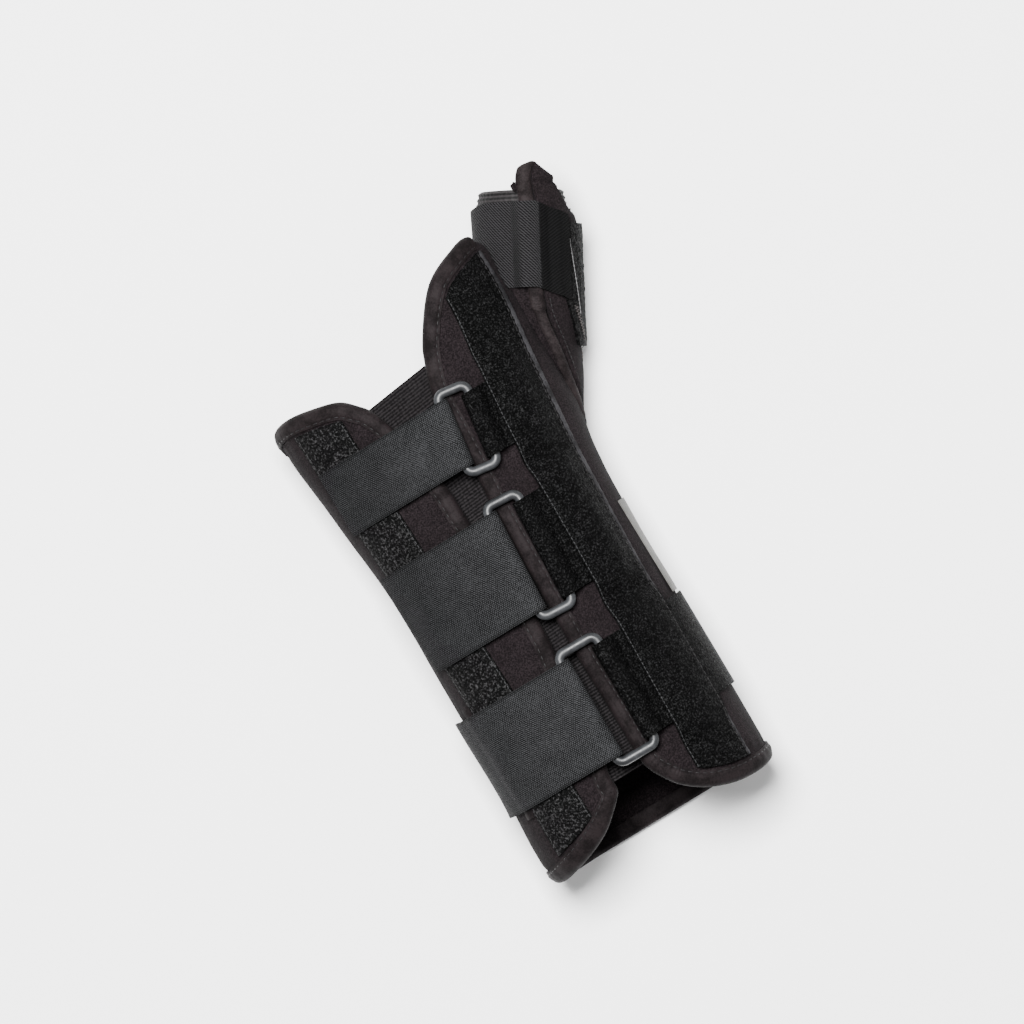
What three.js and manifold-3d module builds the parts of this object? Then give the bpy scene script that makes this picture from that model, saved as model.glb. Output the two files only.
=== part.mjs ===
// A left-hand wrist and thumb splint, lying palm down with its three straps fastened.
// Millimetres. +X is the thumb side, +Y runs from the forearm to the fingers, +Z is the back of the hand.
// The origin is on the flat underside of the palm wall, in the middle of the wrist.
import * as THREE from "three";
import { mergeVertices } from "three/addons/utils/BufferGeometryUtils.js";
import Module from "manifold-3d";

const wasm = await Module();
wasm.setup();

// Body
const bodyLength = 211; // forearm edge to the tip of the thumb-side flap
const handWidth = 98; // widest, over the knuckles
const bodyHeight = 64; // at the forearm end
const bodyWall = 3.5; // padded laminate
const sectionPower = 2.4; // 2 is an ellipse, more is squarer
const flatDepth = 2.5; // how far the round section would reach below the flat underside
const flatBlend = 1.3; // height over which the round section runs into the flat
const endLift = 1.4; // the underside rises this much at its two ends, so their binding is clear of the table
const endLiftLength = 34;
const palmEnd = 0.835; // where the palm wall ends, as a share of bodyLength
const wristAlong = 90; // forearm edge to the origin
const gap = 0.35; // between pieces that touch

// Binding, pile, webbing
const bindingWidth = 5.8;
const bindingThick = 0.7;
const knitThick = 1.5;
const pileThick = 1.6;
const webThick = 1.2;
const ulnarPileWidth = 19;
const radialPileWidth = 20;
const narrowWeb = 24.4;
const wideWeb = 38;
const ringBar = 3;
const ringCorner = 2;
const ringSlack = 2; // how much longer a ring's hole is than its webbing is wide
const ringRise = 4.3; // middle of a ring's bars above the body
const tabTuck = 9; // how far a ring's tab runs under the pile strip
const underFoldWidth = 4.5;
const underFoldLength = 44.6;
const underFoldThick = 0.8;
const labelWidth = 12;
const labelLength = 37;
const labelAcross = 0.448; // its upper edge seen from above, as a share of handWidth
const labelThick = 0.6;

// Thumb
const thumbTurn = THREE.MathUtils.degToRad(29); // away from +Y, towards the thumb side
const thumbHeight = 24; // middle of the sleeve above the table
const thumbRoot = { across: 0.2637, along: 0.6257 }; // start of the axis, in handWidth and bodyLength
const thumbHalfWidth = 16.4;
const thumbHalfHeight = 15.6;
const thumbWall = 3.2;
const sleeveLength = 89; // from the root
const webAlong = 0.88; // where the thumb's web lies, as a share of bodyLength
const elasticWidth = 6;
const elasticThick = 2.2;
const elasticRib = 0.5;
const elasticTaper = 1.3; // how much closer its outer end draws in round the thumb
const stayThick = 2.5;
const stayBindingWidth = 4.2;
const thumbWebWidth = 30;
const thumbWebStart = 61; // from the root
const thumbPileStart = 40; // from the root
const thumbPileLength = 43;

// Sections of the body: places along it as shares of bodyLength, its two sides as shares of handWidth and
// its height as a share of bodyHeight.
const sections = [
  { along: -0.02, left: -0.43, right: 0.446, tall: 0.98 },
  { along: 0.07, left: -0.455, right: 0.458, tall: 1 },
  { along: 0.16, left: -0.432, right: 0.46, tall: 1 },
  { along: 0.31, left: -0.43, right: 0.463, tall: 0.985 },
  { along: 0.45, left: -0.422, right: 0.465, tall: 0.955 },
  { along: 0.54, left: -0.423, right: 0.475, tall: 0.94 },
  { along: 0.61, left: -0.428, right: 0.49, tall: 0.925 },
  { along: 0.67, left: -0.438, right: 0.516, tall: 0.91 },
  { along: 0.74, left: -0.453, right: 0.539, tall: 0.9 },
  { along: 0.82, left: -0.468, right: 0.55, tall: 0.89 },
  { along: 0.88, left: -0.47, right: 0.55, tall: 0.885 },
  { along: 1.02, left: -0.47, right: 0.543, tall: 0.87 },
];

// The open edge, seen from above, from the finger end of the thumb-side flap to the forearm end: across
// as shares of handWidth, along as shares of bodyLength.
const radialEdge = [
  { across: 0.15, along: 0.886 },
  { across: 0.119, along: 0.855 },
  { across: 0.099, along: 0.829 },
  { across: 0.085, along: 0.8 },
  { across: 0.064, along: 0.626 },
  { across: 0.053, along: 0.5 },
  { across: 0.043, along: 0.365 },
  { across: 0.041, along: 0.24 },
  { across: 0.04, along: 0.12 },
  { across: 0.052, along: 0.094 },
  { across: 0.084, along: 0.067 },
  { across: 0.117, along: 0.047 },
];
const ulnarEdge = [
  { across: -0.18, along: 0.047 },
  { across: -0.105, along: 0.078 },
  { across: -0.081, along: 0.093 },
  { across: -0.078, along: 0.125 },
  { across: -0.014, along: 0.351 },
  { across: -0.009, along: 0.389 },
  { across: -0.037, along: 0.597 },
  { across: -0.041, along: 0.661 },
  { across: -0.099, along: 0.794 },
  { across: -0.136, along: 0.837 },
  { across: -0.162, along: 0.852 },
  { across: -0.213, along: 0.874 },
];
// The two ends, round the palm: around as shares of the way round the body from the middle of its back.
const forearmEnd = [
  { around: 0.075, along: 0.02 },
  { around: 0.12, along: 0.001 },
  { around: 0.17, along: -0.004 },
  { around: 0.22, along: -0.002 },
  { around: 0.27, along: 0 },
  { around: 0.32, along: 0.002 },
  { around: 0.37, along: 0.003 },
  { around: 0.42, along: 0.004 },
  { around: 0.5, along: 0.004 },
  { around: 0.58, along: 0.004 },
  { around: 0.63, along: 0.004 },
  { around: 0.68, along: 0.004 },
  { around: 0.74, along: 0.004 },
  { around: 0.81, along: 0.006 },
  { around: 0.88, along: 0.022 },
];
const handEnd = [
  { around: 0.865, along: 0.888 },
  { around: 0.82, along: 0.895 },
  { around: 0.77, along: 0.89 },
  { around: 0.72, along: 0.872 },
  { around: 0.67, along: 0.852 },
  { around: 0.61, along: 0.84 },
  { around: 0.5, along: palmEnd },
  { around: 0.4, along: 0.84 },
  { around: 0.35, along: 0.86 },
  { around: 0.3, along: 0.9 },
  { around: 0.255, along: 0.95 },
  { around: 0.216, along: 0.973 },
  { around: 0.184, along: 1 },
  { around: 0.144, along: 0.992 },
  { around: 0.094, along: 0.9644 },
];

// Rings and straps, each by its middle: across as a share of handWidth, along as a share of bodyLength,
// and the turn of its long bars in degrees. end is where a doubled strap's upper layer ends, as a share of
// handWidth; the last one runs on to the side.
const fastenings = [
  { across: 0.126, along: 0.727, turn: -8.4, wide: 14, web: narrowWeb, end: -0.388 },
  { across: 0.082, along: 0.497, turn: -3.7, wide: 15.2, web: wideWeb, end: -0.388 },
  { across: 0.052, along: 0.229, turn: -1.1, wide: 18, web: wideWeb },
];
// The two sides of the panel along the thumb: along as shares of sleeveLength, left and right in degrees
// round the sleeve from its back towards the thumb's outer side. left is the middle of the panel's
// binding.
const stayOutline = [
  { along: 0.12, left: 88, right: 99 },
  { along: 0.2, left: 73, right: 99 },
  { along: 0.295, left: 54, right: 98 },
  { along: 0.45, left: 32, right: 97 },
  { along: 0.585, left: 16, right: 97 },
  { along: 0.7562, left: 11, right: 97 },
  { along: 0.9147, left: 10, right: 95 },
  { along: 0.9634, left: 8.5, right: 78 },
  { along: 1.0244, left: 6, right: 51 },
  { along: 1.0975, left: 3, right: 37 },
  { along: 1.1439, left: 1.5, right: 32 },
  { along: 1.1625, left: 3, right: 25 },
  { along: 1.175, left: 7, right: 18 },
];
// Where the long pile strips run: the edge of each that is nearest the opening, across as shares of
// handWidth.
const ulnarRoute = [
  { across: -0.205, along: 0.05 },
  { across: -0.222, along: 0.5 },
  { across: -0.236, along: 0.87 },
];
const radialRoute = [
  { across: 0.198, along: 0.05 },
  { across: 0.213, along: 0.31 },
  { across: 0.228, along: 0.53 },
  { across: 0.236, along: 0.65 },
  { across: 0.26, along: 0.776 },
  { across: 0.3, along: 0.93 },
];

// Smooth curve through the rows of a table, read at a value of its first column.
function reader(table, key, columns, scales) {
  const places = table.map((row) => row[key[0]] * key[1]);
  const values = table.flatMap((row) => columns.map((name, i) => row[name] * scales[i]));
  const curve = new THREE.CubicInterpolant(places, values, columns.length);
  return (place) => Array.from(curve.evaluate(place));
}

// Body surface
const sectionScales = [handWidth, handWidth, bodyHeight];
const sectionAt = reader(sections, ["along", bodyLength], ["left", "right", "tall"], sectionScales);
const sectionSteps = 240;
const normalReach = 4; // steps to each side that a surface normal is averaged over
const known = new Map();

function signedPower(value, power) {
  return Math.sign(value) * Math.abs(value) ** power;
}

// A height kept above base, running into it smoothly.
function settled(height, base) {
  if (height > base + flatBlend) return height;
  const above = Math.max(height - base + flatBlend, 0);
  return base + above ** 2 / (4 * flatBlend);
}

// One section as a list of points with the way round to each and the outward normal there.
function section(along) {
  const id = along.toFixed(3);
  if (known.has(id)) return known.get(id);
  const [left, right, tall] = sectionAt(along);
  const halfHeight = (tall + flatDepth) / 2;
  const nearEnd = Math.min(along, palmEnd * bodyLength - along);
  const base = endLift * (1 - THREE.MathUtils.smoothstep(nearEnd, 1.3 * bindingWidth, endLiftLength));
  const points = [];
  for (let i = 0; i <= sectionSteps; i += 1) {
    const turn = (i / sectionSteps) * 2 * Math.PI;
    const x = (left + right) / 2 + ((right - left) / 2) * signedPower(Math.sin(turn), 2 / sectionPower);
    const z = tall - halfHeight + halfHeight * signedPower(Math.cos(turn), 2 / sectionPower);
    points.push(new THREE.Vector2(x, settled(z, base)));
  }
  const way = [0];
  for (let i = 1; i <= sectionSteps; i += 1) way.push(way[i - 1] + points[i].distanceTo(points[i - 1]));
  const normals = points.map((point, i) => {
    const before = points[(i - normalReach + sectionSteps) % sectionSteps];
    const after = points[(i + normalReach) % sectionSteps];
    return new THREE.Vector2(before.y - after.y, after.x - before.x).normalize();
  });
  const made = { points, way, normals, round: way[sectionSteps], left, right };
  known.set(id, made);
  return made;
}

// Point of the body: the way round from the middle of its back towards the thumb side, along it, and out
// from it.
function lay(around, along, out) {
  const { points, way, normals, round } = section(along);
  const wanted = ((around % round) + round) % round;
  let low = 0;
  let high = sectionSteps;
  while (high - low > 1) {
    const middle = (low + high) >> 1;
    if (way[middle] <= wanted) low = middle;
    else high = middle;
  }
  const share = (wanted - way[low]) / (way[high] - way[low]);
  const point = points[low].clone().lerp(points[high], share);
  point.addScaledVector(normals[low].clone().lerp(normals[high], share).normalize(), out);
  return new THREE.Vector3(point.x, along, point.y);
}

// The way round to the point of the back that lies at x when seen from above.
function aroundAt(x, along) {
  const { way, left, right } = section(along);
  const share = THREE.MathUtils.clamp((x - (left + right) / 2) / ((right - left) / 2), -1, 1);
  const turn = Math.asin(Math.abs(share) ** (sectionPower / 2));
  const place = (turn / (2 * Math.PI)) * sectionSteps;
  const low = Math.floor(place);
  return Math.sign(share) * THREE.MathUtils.lerp(way[low], way[low + 1], place - low);
}

// The way round and out to a point in space near the back of the body.
function locate(point) {
  let around = aroundAt(point.x, point.y);
  let out = 0;
  for (let i = 0; i < 6; i += 1) {
    const at = lay(around, point.y, out);
    const outward = lay(around, point.y, out + 1).sub(at);
    const miss = point.clone().sub(at);
    out += miss.dot(outward);
    around += miss.x * outward.z - miss.z * outward.x;
  }
  return { around, out };
}

// Closed bodies
function closedGeometry(points, faces) {
  const flat = new THREE.BufferGeometry();
  flat.setAttribute("position", new THREE.Float32BufferAttribute(points.flatMap((p) => [p.x, p.y, p.z]), 3));
  flat.setIndex(faces);
  let volume = 0;
  for (let i = 0; i < faces.length; i += 3) {
    const [a, b, c] = [points[faces[i]], points[faces[i + 1]], points[faces[i + 2]]];
    volume += a.clone().cross(b).dot(c) / 6;
  }
  if (volume < 0) flat.setIndex(faces.toReversed());
  return flat;
}

// A thin piece: place(u, v, side) gives its lower face at side 0 and its upper face at side 1.
function sheet(uSteps, vSteps, place) {
  const points = [];
  const faces = [];
  const at = (i, j, side) => (i * (vSteps + 1) + j) * 2 + side;
  const quad = (a, b, c, d) => faces.push(a, b, c, a, c, d);
  for (let i = 0; i <= uSteps; i += 1) {
    for (let j = 0; j <= vSteps; j += 1) {
      points.push(place(i / uSteps, j / vSteps, 0), place(i / uSteps, j / vSteps, 1));
    }
  }
  for (let i = 0; i < uSteps; i += 1) {
    for (let j = 0; j < vSteps; j += 1) {
      quad(at(i, j, 1), at(i + 1, j, 1), at(i + 1, j + 1, 1), at(i, j + 1, 1));
      quad(at(i, j, 0), at(i, j + 1, 0), at(i + 1, j + 1, 0), at(i + 1, j, 0));
    }
    quad(at(i, 0, 0), at(i + 1, 0, 0), at(i + 1, 0, 1), at(i, 0, 1));
    quad(at(i, vSteps, 0), at(i, vSteps, 1), at(i + 1, vSteps, 1), at(i + 1, vSteps, 0));
  }
  for (let j = 0; j < vSteps; j += 1) {
    quad(at(0, j, 0), at(0, j, 1), at(0, j + 1, 1), at(0, j + 1, 0));
    quad(at(uSteps, j, 0), at(uSteps, j + 1, 0), at(uSteps, j + 1, 1), at(uSteps, j, 1));
  }
  return closedGeometry(points, faces);
}

// A body that closes on itself both ways, such as a ring or a short tube with a wall.
function hoop(uSteps, vSteps, place) {
  const points = [];
  const faces = [];
  const at = (i, j) => (i % uSteps) * vSteps + (j % vSteps);
  for (let i = 0; i < uSteps; i += 1) {
    for (let j = 0; j < vSteps; j += 1) {
      points.push(place(i / uSteps, j));
      faces.push(at(i, j), at(i + 1, j), at(i + 1, j + 1), at(i, j), at(i + 1, j + 1), at(i, j + 1));
    }
  }
  return closedGeometry(points, faces);
}

// A filled body between two flat ends: place(u, end) runs round its outline.
function plug(uSteps, ends, place) {
  const points = [];
  const faces = [];
  for (let k = 0; k <= ends; k += 1) {
    for (let i = 0; i < uSteps; i += 1) points.push(place(i / uSteps, k / ends));
  }
  for (let k = 0; k < ends; k += 1) {
    for (let i = 0; i < uSteps; i += 1) {
      const a = k * uSteps + i;
      const b = k * uSteps + ((i + 1) % uSteps);
      faces.push(a, b, b + uSteps, a, b + uSteps, a + uSteps);
    }
  }
  const last = ends * uSteps;
  for (let i = 1; i < uSteps - 1; i += 1) faces.push(0, i + 1, i, last, last + i, last + i + 1);
  return closedGeometry(points, faces);
}

function solid(geometry) {
  const merged = mergeVertices(geometry, 1e-4);
  const vertProperties = merged.attributes.position.array;
  const triVerts = new Uint32Array(merged.index.array);
  return new wasm.Manifold(new wasm.Mesh({ numProp: 3, vertProperties, triVerts }));
}

function geometryOf(manifold) {
  const mesh = manifold.getMesh();
  const geometry = new THREE.BufferGeometry();
  geometry.setAttribute("position", new THREE.BufferAttribute(mesh.vertProperties, 3));
  geometry.setIndex(new THREE.BufferAttribute(mesh.triVerts, 1));
  return geometry;
}

// The open edge as one closed curve on the laid-out body: x is the way round, y is along.
const fromAbove = ({ across, along }, turns) => {
  const y = along * bodyLength;
  return new THREE.Vector3(aroundAt(across * handWidth, y) + turns * section(y).round, y, 0);
};
const fromAround = ({ around, along }) => {
  const y = along * bodyLength;
  return new THREE.Vector3(around * section(y).round, y, 0);
};
const openEdge = new THREE.CatmullRomCurve3(
  [
    ...radialEdge.map((row) => fromAbove(row, 0)),
    ...forearmEnd.map(fromAround),
    ...ulnarEdge.map((row) => fromAbove(row, 1)),
    ...handEnd.map(fromAround),
  ],
  true,
  "centripetal",
);
// The rows of the edge at its four corners, and the steps taken between two rows along its sides and its
// ends. Both sides have as many rows, and so have both ends.
const ulnarRow = radialEdge.length + forearmEnd.length;
const handRow = ulnarRow + ulnarEdge.length;
const edgeRows = handRow + handEnd.length;
const edgeCorners = [0, radialEdge.length - 1, ulnarRow, handRow - 1].map((row) => row / edgeRows);
const sideSteps = 2;
const endSteps = 3;

// A place on the open edge, moved inwards on the laid-out body.
function edgePoint(share, inwards) {
  const point = openEdge.getPoint(((share % 1) + 1) % 1);
  const ahead = openEdge.getTangent(((share % 1) + 1) % 1);
  return new THREE.Vector2(point.x - ahead.y * inwards, point.y + ahead.x * inwards);
}

// How far along the inner side of the binding lies at one way round, between two places on the edge.
function insideBinding(around, from, to) {
  const steps = 120;
  let nearest = edgePoint(from, bindingWidth + gap);
  for (let i = 1; i <= steps; i += 1) {
    const next = edgePoint(THREE.MathUtils.lerp(from, to, i / steps), bindingWidth + gap);
    if ((nearest.x - around) * (next.x - around) <= 0) {
      return THREE.MathUtils.mapLinear(around, nearest.x, next.x, nearest.y, next.y);
    }
    nearest = next;
  }
  return nearest.y;
}

// Body shell: the four stretches of the edge carry a grid between them.
const edgeBuild = gap + bindingThick;
function laidOut(u, v) {
  const [a, b, c, d] = edgeCorners;
  const left = edgePoint(THREE.MathUtils.lerp(b, a, v), edgeBuild);
  const right = edgePoint(THREE.MathUtils.lerp(c, d, v), edgeBuild);
  const bottom = edgePoint(THREE.MathUtils.lerp(b, c, u), edgeBuild);
  const top = edgePoint(THREE.MathUtils.lerp(a + 1, d, u), edgeBuild);
  const corner = (share) => edgePoint(share, edgeBuild);
  const along = left.lerp(right, u).add(bottom.lerp(top, v));
  const lower = corner(b).lerp(corner(c), u);
  const upper = corner(a).lerp(corner(d), u);
  return along.sub(lower.lerp(upper, v));
}

// Point round the thumb: along the sleeve from its root, the turn from its back towards its outer side, and
// out from it.
function thumbPoint(along, turn, out) {
  const across = (thumbHalfWidth + out) * Math.sin(turn);
  const x = thumbRoot.across * handWidth + along * Math.sin(thumbTurn) + across * Math.cos(thumbTurn);
  const y = thumbRoot.along * bodyLength + along * Math.cos(thumbTurn) - across * Math.sin(thumbTurn);
  return new THREE.Vector3(x, y, thumbHeight + (thumbHalfHeight + out) * Math.cos(turn));
}

const thumbEnd = stayOutline.at(-1).along * sleeveLength;
function thumbPlug(start, end, out) {
  return solid(plug(48, 1, (u, k) => thumbPoint(start + (end - start) * k, u * 2 * Math.PI, out)));
}

function bodyPlug(start, end, out) {
  const ring = (u, k) => {
    const along = start + (end - start) * k;
    return lay(u * section(along).round, along, out);
  };
  return solid(plug(56, 9, ring));
}

function bodyShell() {
  const rounds = endSteps * (forearmEnd.length + 1);
  const rows = sideSteps * (ulnarEdge.length - 1);
  const wall = sheet(rounds, rows, (u, v, side) => {
    const place = laidOut(u, v);
    return lay(place.x, place.y, (side - 1) * bodyWall);
  });
  const sleeveHole = thumbPlug(0, thumbEnd, gap);
  const strapRoom = thumbPlug(thumbWebStart - gap, thumbEnd, webThick + 2 * gap);
  return geometryOf(solid(wall).subtract(sleeveHole).subtract(strapRoom));
}

// Binding: a folded strip over the edge, from the flap's tip the long way round to the thumb's web. fold
// runs from its upper hem over the edge to its lower hem; turned is how far a row lies into the fold
// itself.
const bindingRows = { from: -3, to: handRow + 8 };
function edgeBinding() {
  const shares = [];
  for (let row = bindingRows.from; row < bindingRows.to; row += 1) {
    const isSide = (row >= 0 && row < radialEdge.length - 1) || (row >= ulnarRow && row < handRow - 1);
    const parts = isSide ? sideSteps : endSteps;
    for (let part = 0; part < parts; part += 1) shares.push((row + part / parts) / edgeRows);
  }
  shares.push(bindingRows.to / edgeRows);
  const above = gap;
  const below = -bodyWall - gap;
  const fold = [
    { inwards: bindingWidth, out: above, turned: 0 },
    { inwards: bindingThick, out: above, turned: 1 },
    { inwards: bindingThick, out: below, turned: 1 },
    { inwards: bindingWidth, out: below, turned: 0 },
  ];
  const steps = fold.length - 1;
  return sheet(shares.length - 1, steps, (u, v, side) => {
    const { inwards, out, turned } = fold[Math.round(v * steps)];
    const share = shares[Math.round(u * (shares.length - 1))];
    const place = edgePoint(share, inwards - side * turned * bindingThick);
    return lay(place.x, place.y, out + side * Math.sign(out) * bindingThick);
  });
}

// Knit: bridges the opening under both flaps. Its outline is in shares of handWidth and bodyLength.
const knitOutline = { left: -0.2, right: 0.17, start: 0.106, endLeft: 0.835, endRight: 0.856 };
function knitTongue() {
  const top = -bodyWall - 2 * gap - bindingThick;
  const { left, right, start, endLeft, endRight } = knitOutline;
  return sheet(14, 5, (u, v, side) => {
    const end = THREE.MathUtils.lerp(endLeft, endRight, v);
    const along = THREE.MathUtils.lerp(start, end, u) * bodyLength;
    const across = THREE.MathUtils.lerp(left, right, v) * handWidth;
    return lay(aroundAt(across, along), along, top - (1 - side) * knitThick);
  });
}

// Long pile strips, each between the bindings of the two ends. hand is +1 when the strip's width runs
// towards +X.
const rowShare = (row) => row / edgeRows;
const innerAt = (route) => {
  const edgeAt = reader(route, ["along", bodyLength], ["across"], [handWidth]);
  return (along) => aroundAt(edgeAt(along)[0], along);
};
const radialInner = innerAt(radialRoute);
const ulnarInner = innerAt(ulnarRoute);

function pileStrip(inner, hand, width, ends, steps, lift) {
  const across = (v) => hand * width * v;
  const [firstAlong, lastAlong] = [0.05 * bodyLength, 0.93 * bodyLength];
  return sheet(steps, 4, (u, v, side) => {
    const lowAround = inner(firstAlong) + across(v) + ends.turns(firstAlong);
    const highAround = inner(lastAlong) + across(v) + ends.turns(lastAlong);
    const low = insideBinding(lowAround, ...ends.forearm) + 2 * gap;
    const high = insideBinding(highAround, ...ends.hand) - 2 * gap;
    const along = THREE.MathUtils.lerp(low, high, u);
    const around = inner(along) + across(v);
    return lay(around, along, gap + lift(around, along) + side * pileThick);
  });
}

// Rings
const fastened = fastenings.map((row) => {
  const along = row.along * bodyLength;
  const around = aroundAt(row.across * handWidth, along);
  const middle = lay(around, along, ringRise);
  const outward = lay(around, along, ringRise + 1).sub(middle);
  const slope = Math.atan2(outward.x, outward.z);
  const pitch = Math.atan2(lay(around, along + 5, 0).z - lay(around, along - 5, 0).z, 10);
  const long = row.web + 2 * ringBar + ringSlack;
  return { ...row, long, middle, slope, pitch, turn: THREE.MathUtils.degToRad(row.turn) };
});

// A ring's own frame: its long bars along y, its short ones along x.
const ringFrame = (ring) =>
  new THREE.Matrix4()
    .makeRotationY(ring.slope)
    .multiply(new THREE.Matrix4().makeRotationX(ring.pitch))
    .multiply(new THREE.Matrix4().makeRotationZ(ring.turn))
    .setPosition(ring.middle);

// The two ends of a ring's left (-1) or right (+1) bar.
function barEnds(ring, hand) {
  const frame = ringFrame(ring);
  const x = (hand * (ring.wide - ringBar)) / 2;
  return [-ring.long / 2, ring.long / 2].map((y) => new THREE.Vector3(x, y, 0).applyMatrix4(frame));
}

function ringGeometry(ring) {
  const [x, y] = [(ring.wide - ringBar) / 2, (ring.long - ringBar) / 2];
  const quarter = Math.PI / 2;
  const outline = new THREE.Path();
  outline.absarc(x - ringCorner, y - ringCorner, ringCorner, 0, quarter);
  outline.absarc(-x + ringCorner, y - ringCorner, ringCorner, quarter, 2 * quarter);
  outline.absarc(-x + ringCorner, -y + ringCorner, ringCorner, 2 * quarter, 3 * quarter);
  outline.absarc(x - ringCorner, -y + ringCorner, ringCorner, 3 * quarter, 4 * quarter);
  outline.closePath();
  const path = outline.getPoints(3).slice(0, -1);
  const sides = 6;
  const frame = ringFrame(ring);
  return hoop(path.length, sides, (u, j) => {
    const i = Math.round(u * path.length);
    const ahead = path[(i + 1) % path.length].clone().sub(path.at(i - 1)).normalize();
    const turn = ((j + 0.5) / sides) * 2 * Math.PI;
    const out = (ringBar / 2) * Math.cos(turn);
    const height = (ringBar / 2) * Math.sin(turn);
    const point = new THREE.Vector3(path[i].x + ahead.y * out, path[i].y - ahead.x * out, height);
    return point.applyMatrix4(frame);
  });
}

// A band folded round a ring's bar. bar is the bar's side of the ring, and both legs run off to that
// side. Each leg has the way round to its end, its resting height, and the length over which it settles
// to that height.
const foldRadius = ringBar / 2 + gap + webThick / 2;
const foldSteps = 6;
function foldedBand(ring, bar, legs, width) {
  const rows = legs.lower.steps + foldSteps + legs.upper.steps;
  const [low, high] = barEnds(ring, bar);
  return sheet(rows, 2, (u, v, side) => {
    const along = (low.y + high.y) / 2 + (v - 0.5) * width;
    const at = locate(low.clone().lerp(high, (along - low.y) / (high.y - low.y)));
    const row = Math.round(u * rows) - legs.lower.steps;
    const layer = (side - 0.5) * webThick;
    if (row >= 0 && row <= foldSteps) {
      const turn = (row / foldSteps) * Math.PI;
      const radius = foldRadius + layer;
      return lay(at.around - bar * radius * Math.sin(turn), along, at.out - radius * Math.cos(turn));
    }
    const leg = row < 0 ? legs.lower : legs.upper;
    const sign = row < 0 ? -1 : 1;
    const share = row < 0 ? -row / leg.steps : (row - foldSteps) / leg.steps;
    const around = THREE.MathUtils.lerp(at.around, leg.end(along), share);
    const settled = THREE.MathUtils.smoothstep(Math.abs(around - at.around), 0, leg.settle);
    const out = THREE.MathUtils.lerp(at.out + sign * foldRadius, leg.height(around, along), settled);
    return lay(around, along, out + sign * layer);
  });
}

const onBody = gap + webThick / 2; // middle of a band that lies on the body
const onBand = onBody + webThick + gap; // middle of a band that lies on another band
const onBinding = onBody + gap + bindingThick;
const onUnderFold = onBody + 1.5 * gap + underFoldThick;
const onPile = onBody + gap + pileThick;
const lastRing = fastened.at(-1);
const tabWidth = (ring) => ring.web - 1;
const sideEnd = 0.26; // share of the way round at which the last tab and the last strap end, at the sides

// Tabs: folded round the right bars, both legs tucked under the pile strip. The last one runs on to the
// thumb side.
function pileTab(ring) {
  const isLast = ring === lastRing;
  const tuck = (along) => radialInner(along) + tabTuck;
  const side = (along) => sideEnd * section(along).round;
  const lowered = (around, along) => {
    const past = THREE.MathUtils.smoothstep(around - tuck(along), 2 * gap, 5);
    return THREE.MathUtils.lerp(onBand, onBody, past);
  };
  const legs = {
    lower: { end: tuck, height: () => onBody, settle: 5, steps: 4 },
    upper: { end: isLast ? side : tuck, height: lowered, settle: 6, steps: isLast ? 18 : 6 },
  };
  return foldedBand(ring, 1, legs, tabWidth(ring));
}

// How far the thumb-side pile strip is lifted over the tabs.
function overTabs(around, along) {
  const lifts = fastened.map((ring) => {
    const beside = Math.abs(along - ring.middle.y) - tabWidth(ring) / 2;
    const near = 1 - THREE.MathUtils.smoothstep(beside, 3, 8);
    const past = THREE.MathUtils.smoothstep(around - radialInner(along) - tabTuck, 2, 7);
    const rest = ring === lastRing ? webThick + gap : 0;
    return near * THREE.MathUtils.lerp(2 * (webThick + gap) + gap / 2, rest, past);
  });
  return Math.max(...lifts);
}

// Straps: folded round the left bars. The upper leg ends on the ulnar pile strip, and the last one runs
// on past it.
const strapStart = -0.18; // where the lower leg ends, as a share of handWidth
const climb = 4; // the way in which a strap rises on to the pile, starting a little before it
function strap(ring) {
  const isLast = ring === lastRing;
  const lowered = (around, along) => {
    const inner = ulnarInner(along);
    const onto = THREE.MathUtils.smoothstep(inner + 1.25 * climb - around, 0, climb);
    const off = THREE.MathUtils.smoothstep(inner - ulnarPileWidth - around, 0.5, 5);
    const raised = THREE.MathUtils.lerp(onBinding + webThick + gap, onPile, onto);
    return THREE.MathUtils.lerp(raised, onUnderFold, off);
  };
  const end = (along) => (isLast ? -sideEnd * section(along).round : aroundAt(ring.end * handWidth, along));
  const legs = {
    lower: {
      end: (along) => aroundAt(strapStart * handWidth, along),
      height: () => onBinding,
      settle: 10,
      steps: 7,
    },
    upper: { end, height: lowered, settle: 13, steps: isLast ? 24 : 14 },
  };
  return foldedBand(ring, -1, legs, ring.web);
}

// The narrow folded strip under the last strap, beside the pile, a little longer than the strap is wide.
function underFold() {
  return sheet(14, 3, (u, v, side) => {
    const along = lastRing.middle.y + (u - 0.5) * underFoldLength;
    const around = ulnarInner(along) - ulnarPileWidth - gap - v * underFoldWidth;
    return lay(around, along, 1.5 * gap + side * underFoldThick);
  });
}

// Plain strip low on the thumb side, just past the last tab.
function sideLabel() {
  return sheet(6, 4, (u, v, side) => {
    const along = lastRing.middle.y + tabWidth(lastRing) / 2 + 1 + u * labelLength;
    const around = aroundAt(labelAcross * handWidth, along) + v * labelWidth;
    return lay(around, along, gap + side * labelThick);
  });
}

// Thumb sleeve and what is on it
function thumbSleeve() {
  const profile = [
    { along: 0, out: 0 },
    { along: sleeveLength, out: 0 },
    { along: sleeveLength, out: -thumbWall },
    { along: 0, out: -thumbWall },
  ];
  const place = (u, j) => thumbPoint(profile[j].along, u * 2 * Math.PI, profile[j].out);
  const tube = hoop(40, profile.length, place);
  const insideBody = bodyPlug(0.48 * bodyLength, webAlong * bodyLength, -bodyWall);
  return geometryOf(solid(tube).subtract(insideBody));
}

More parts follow.
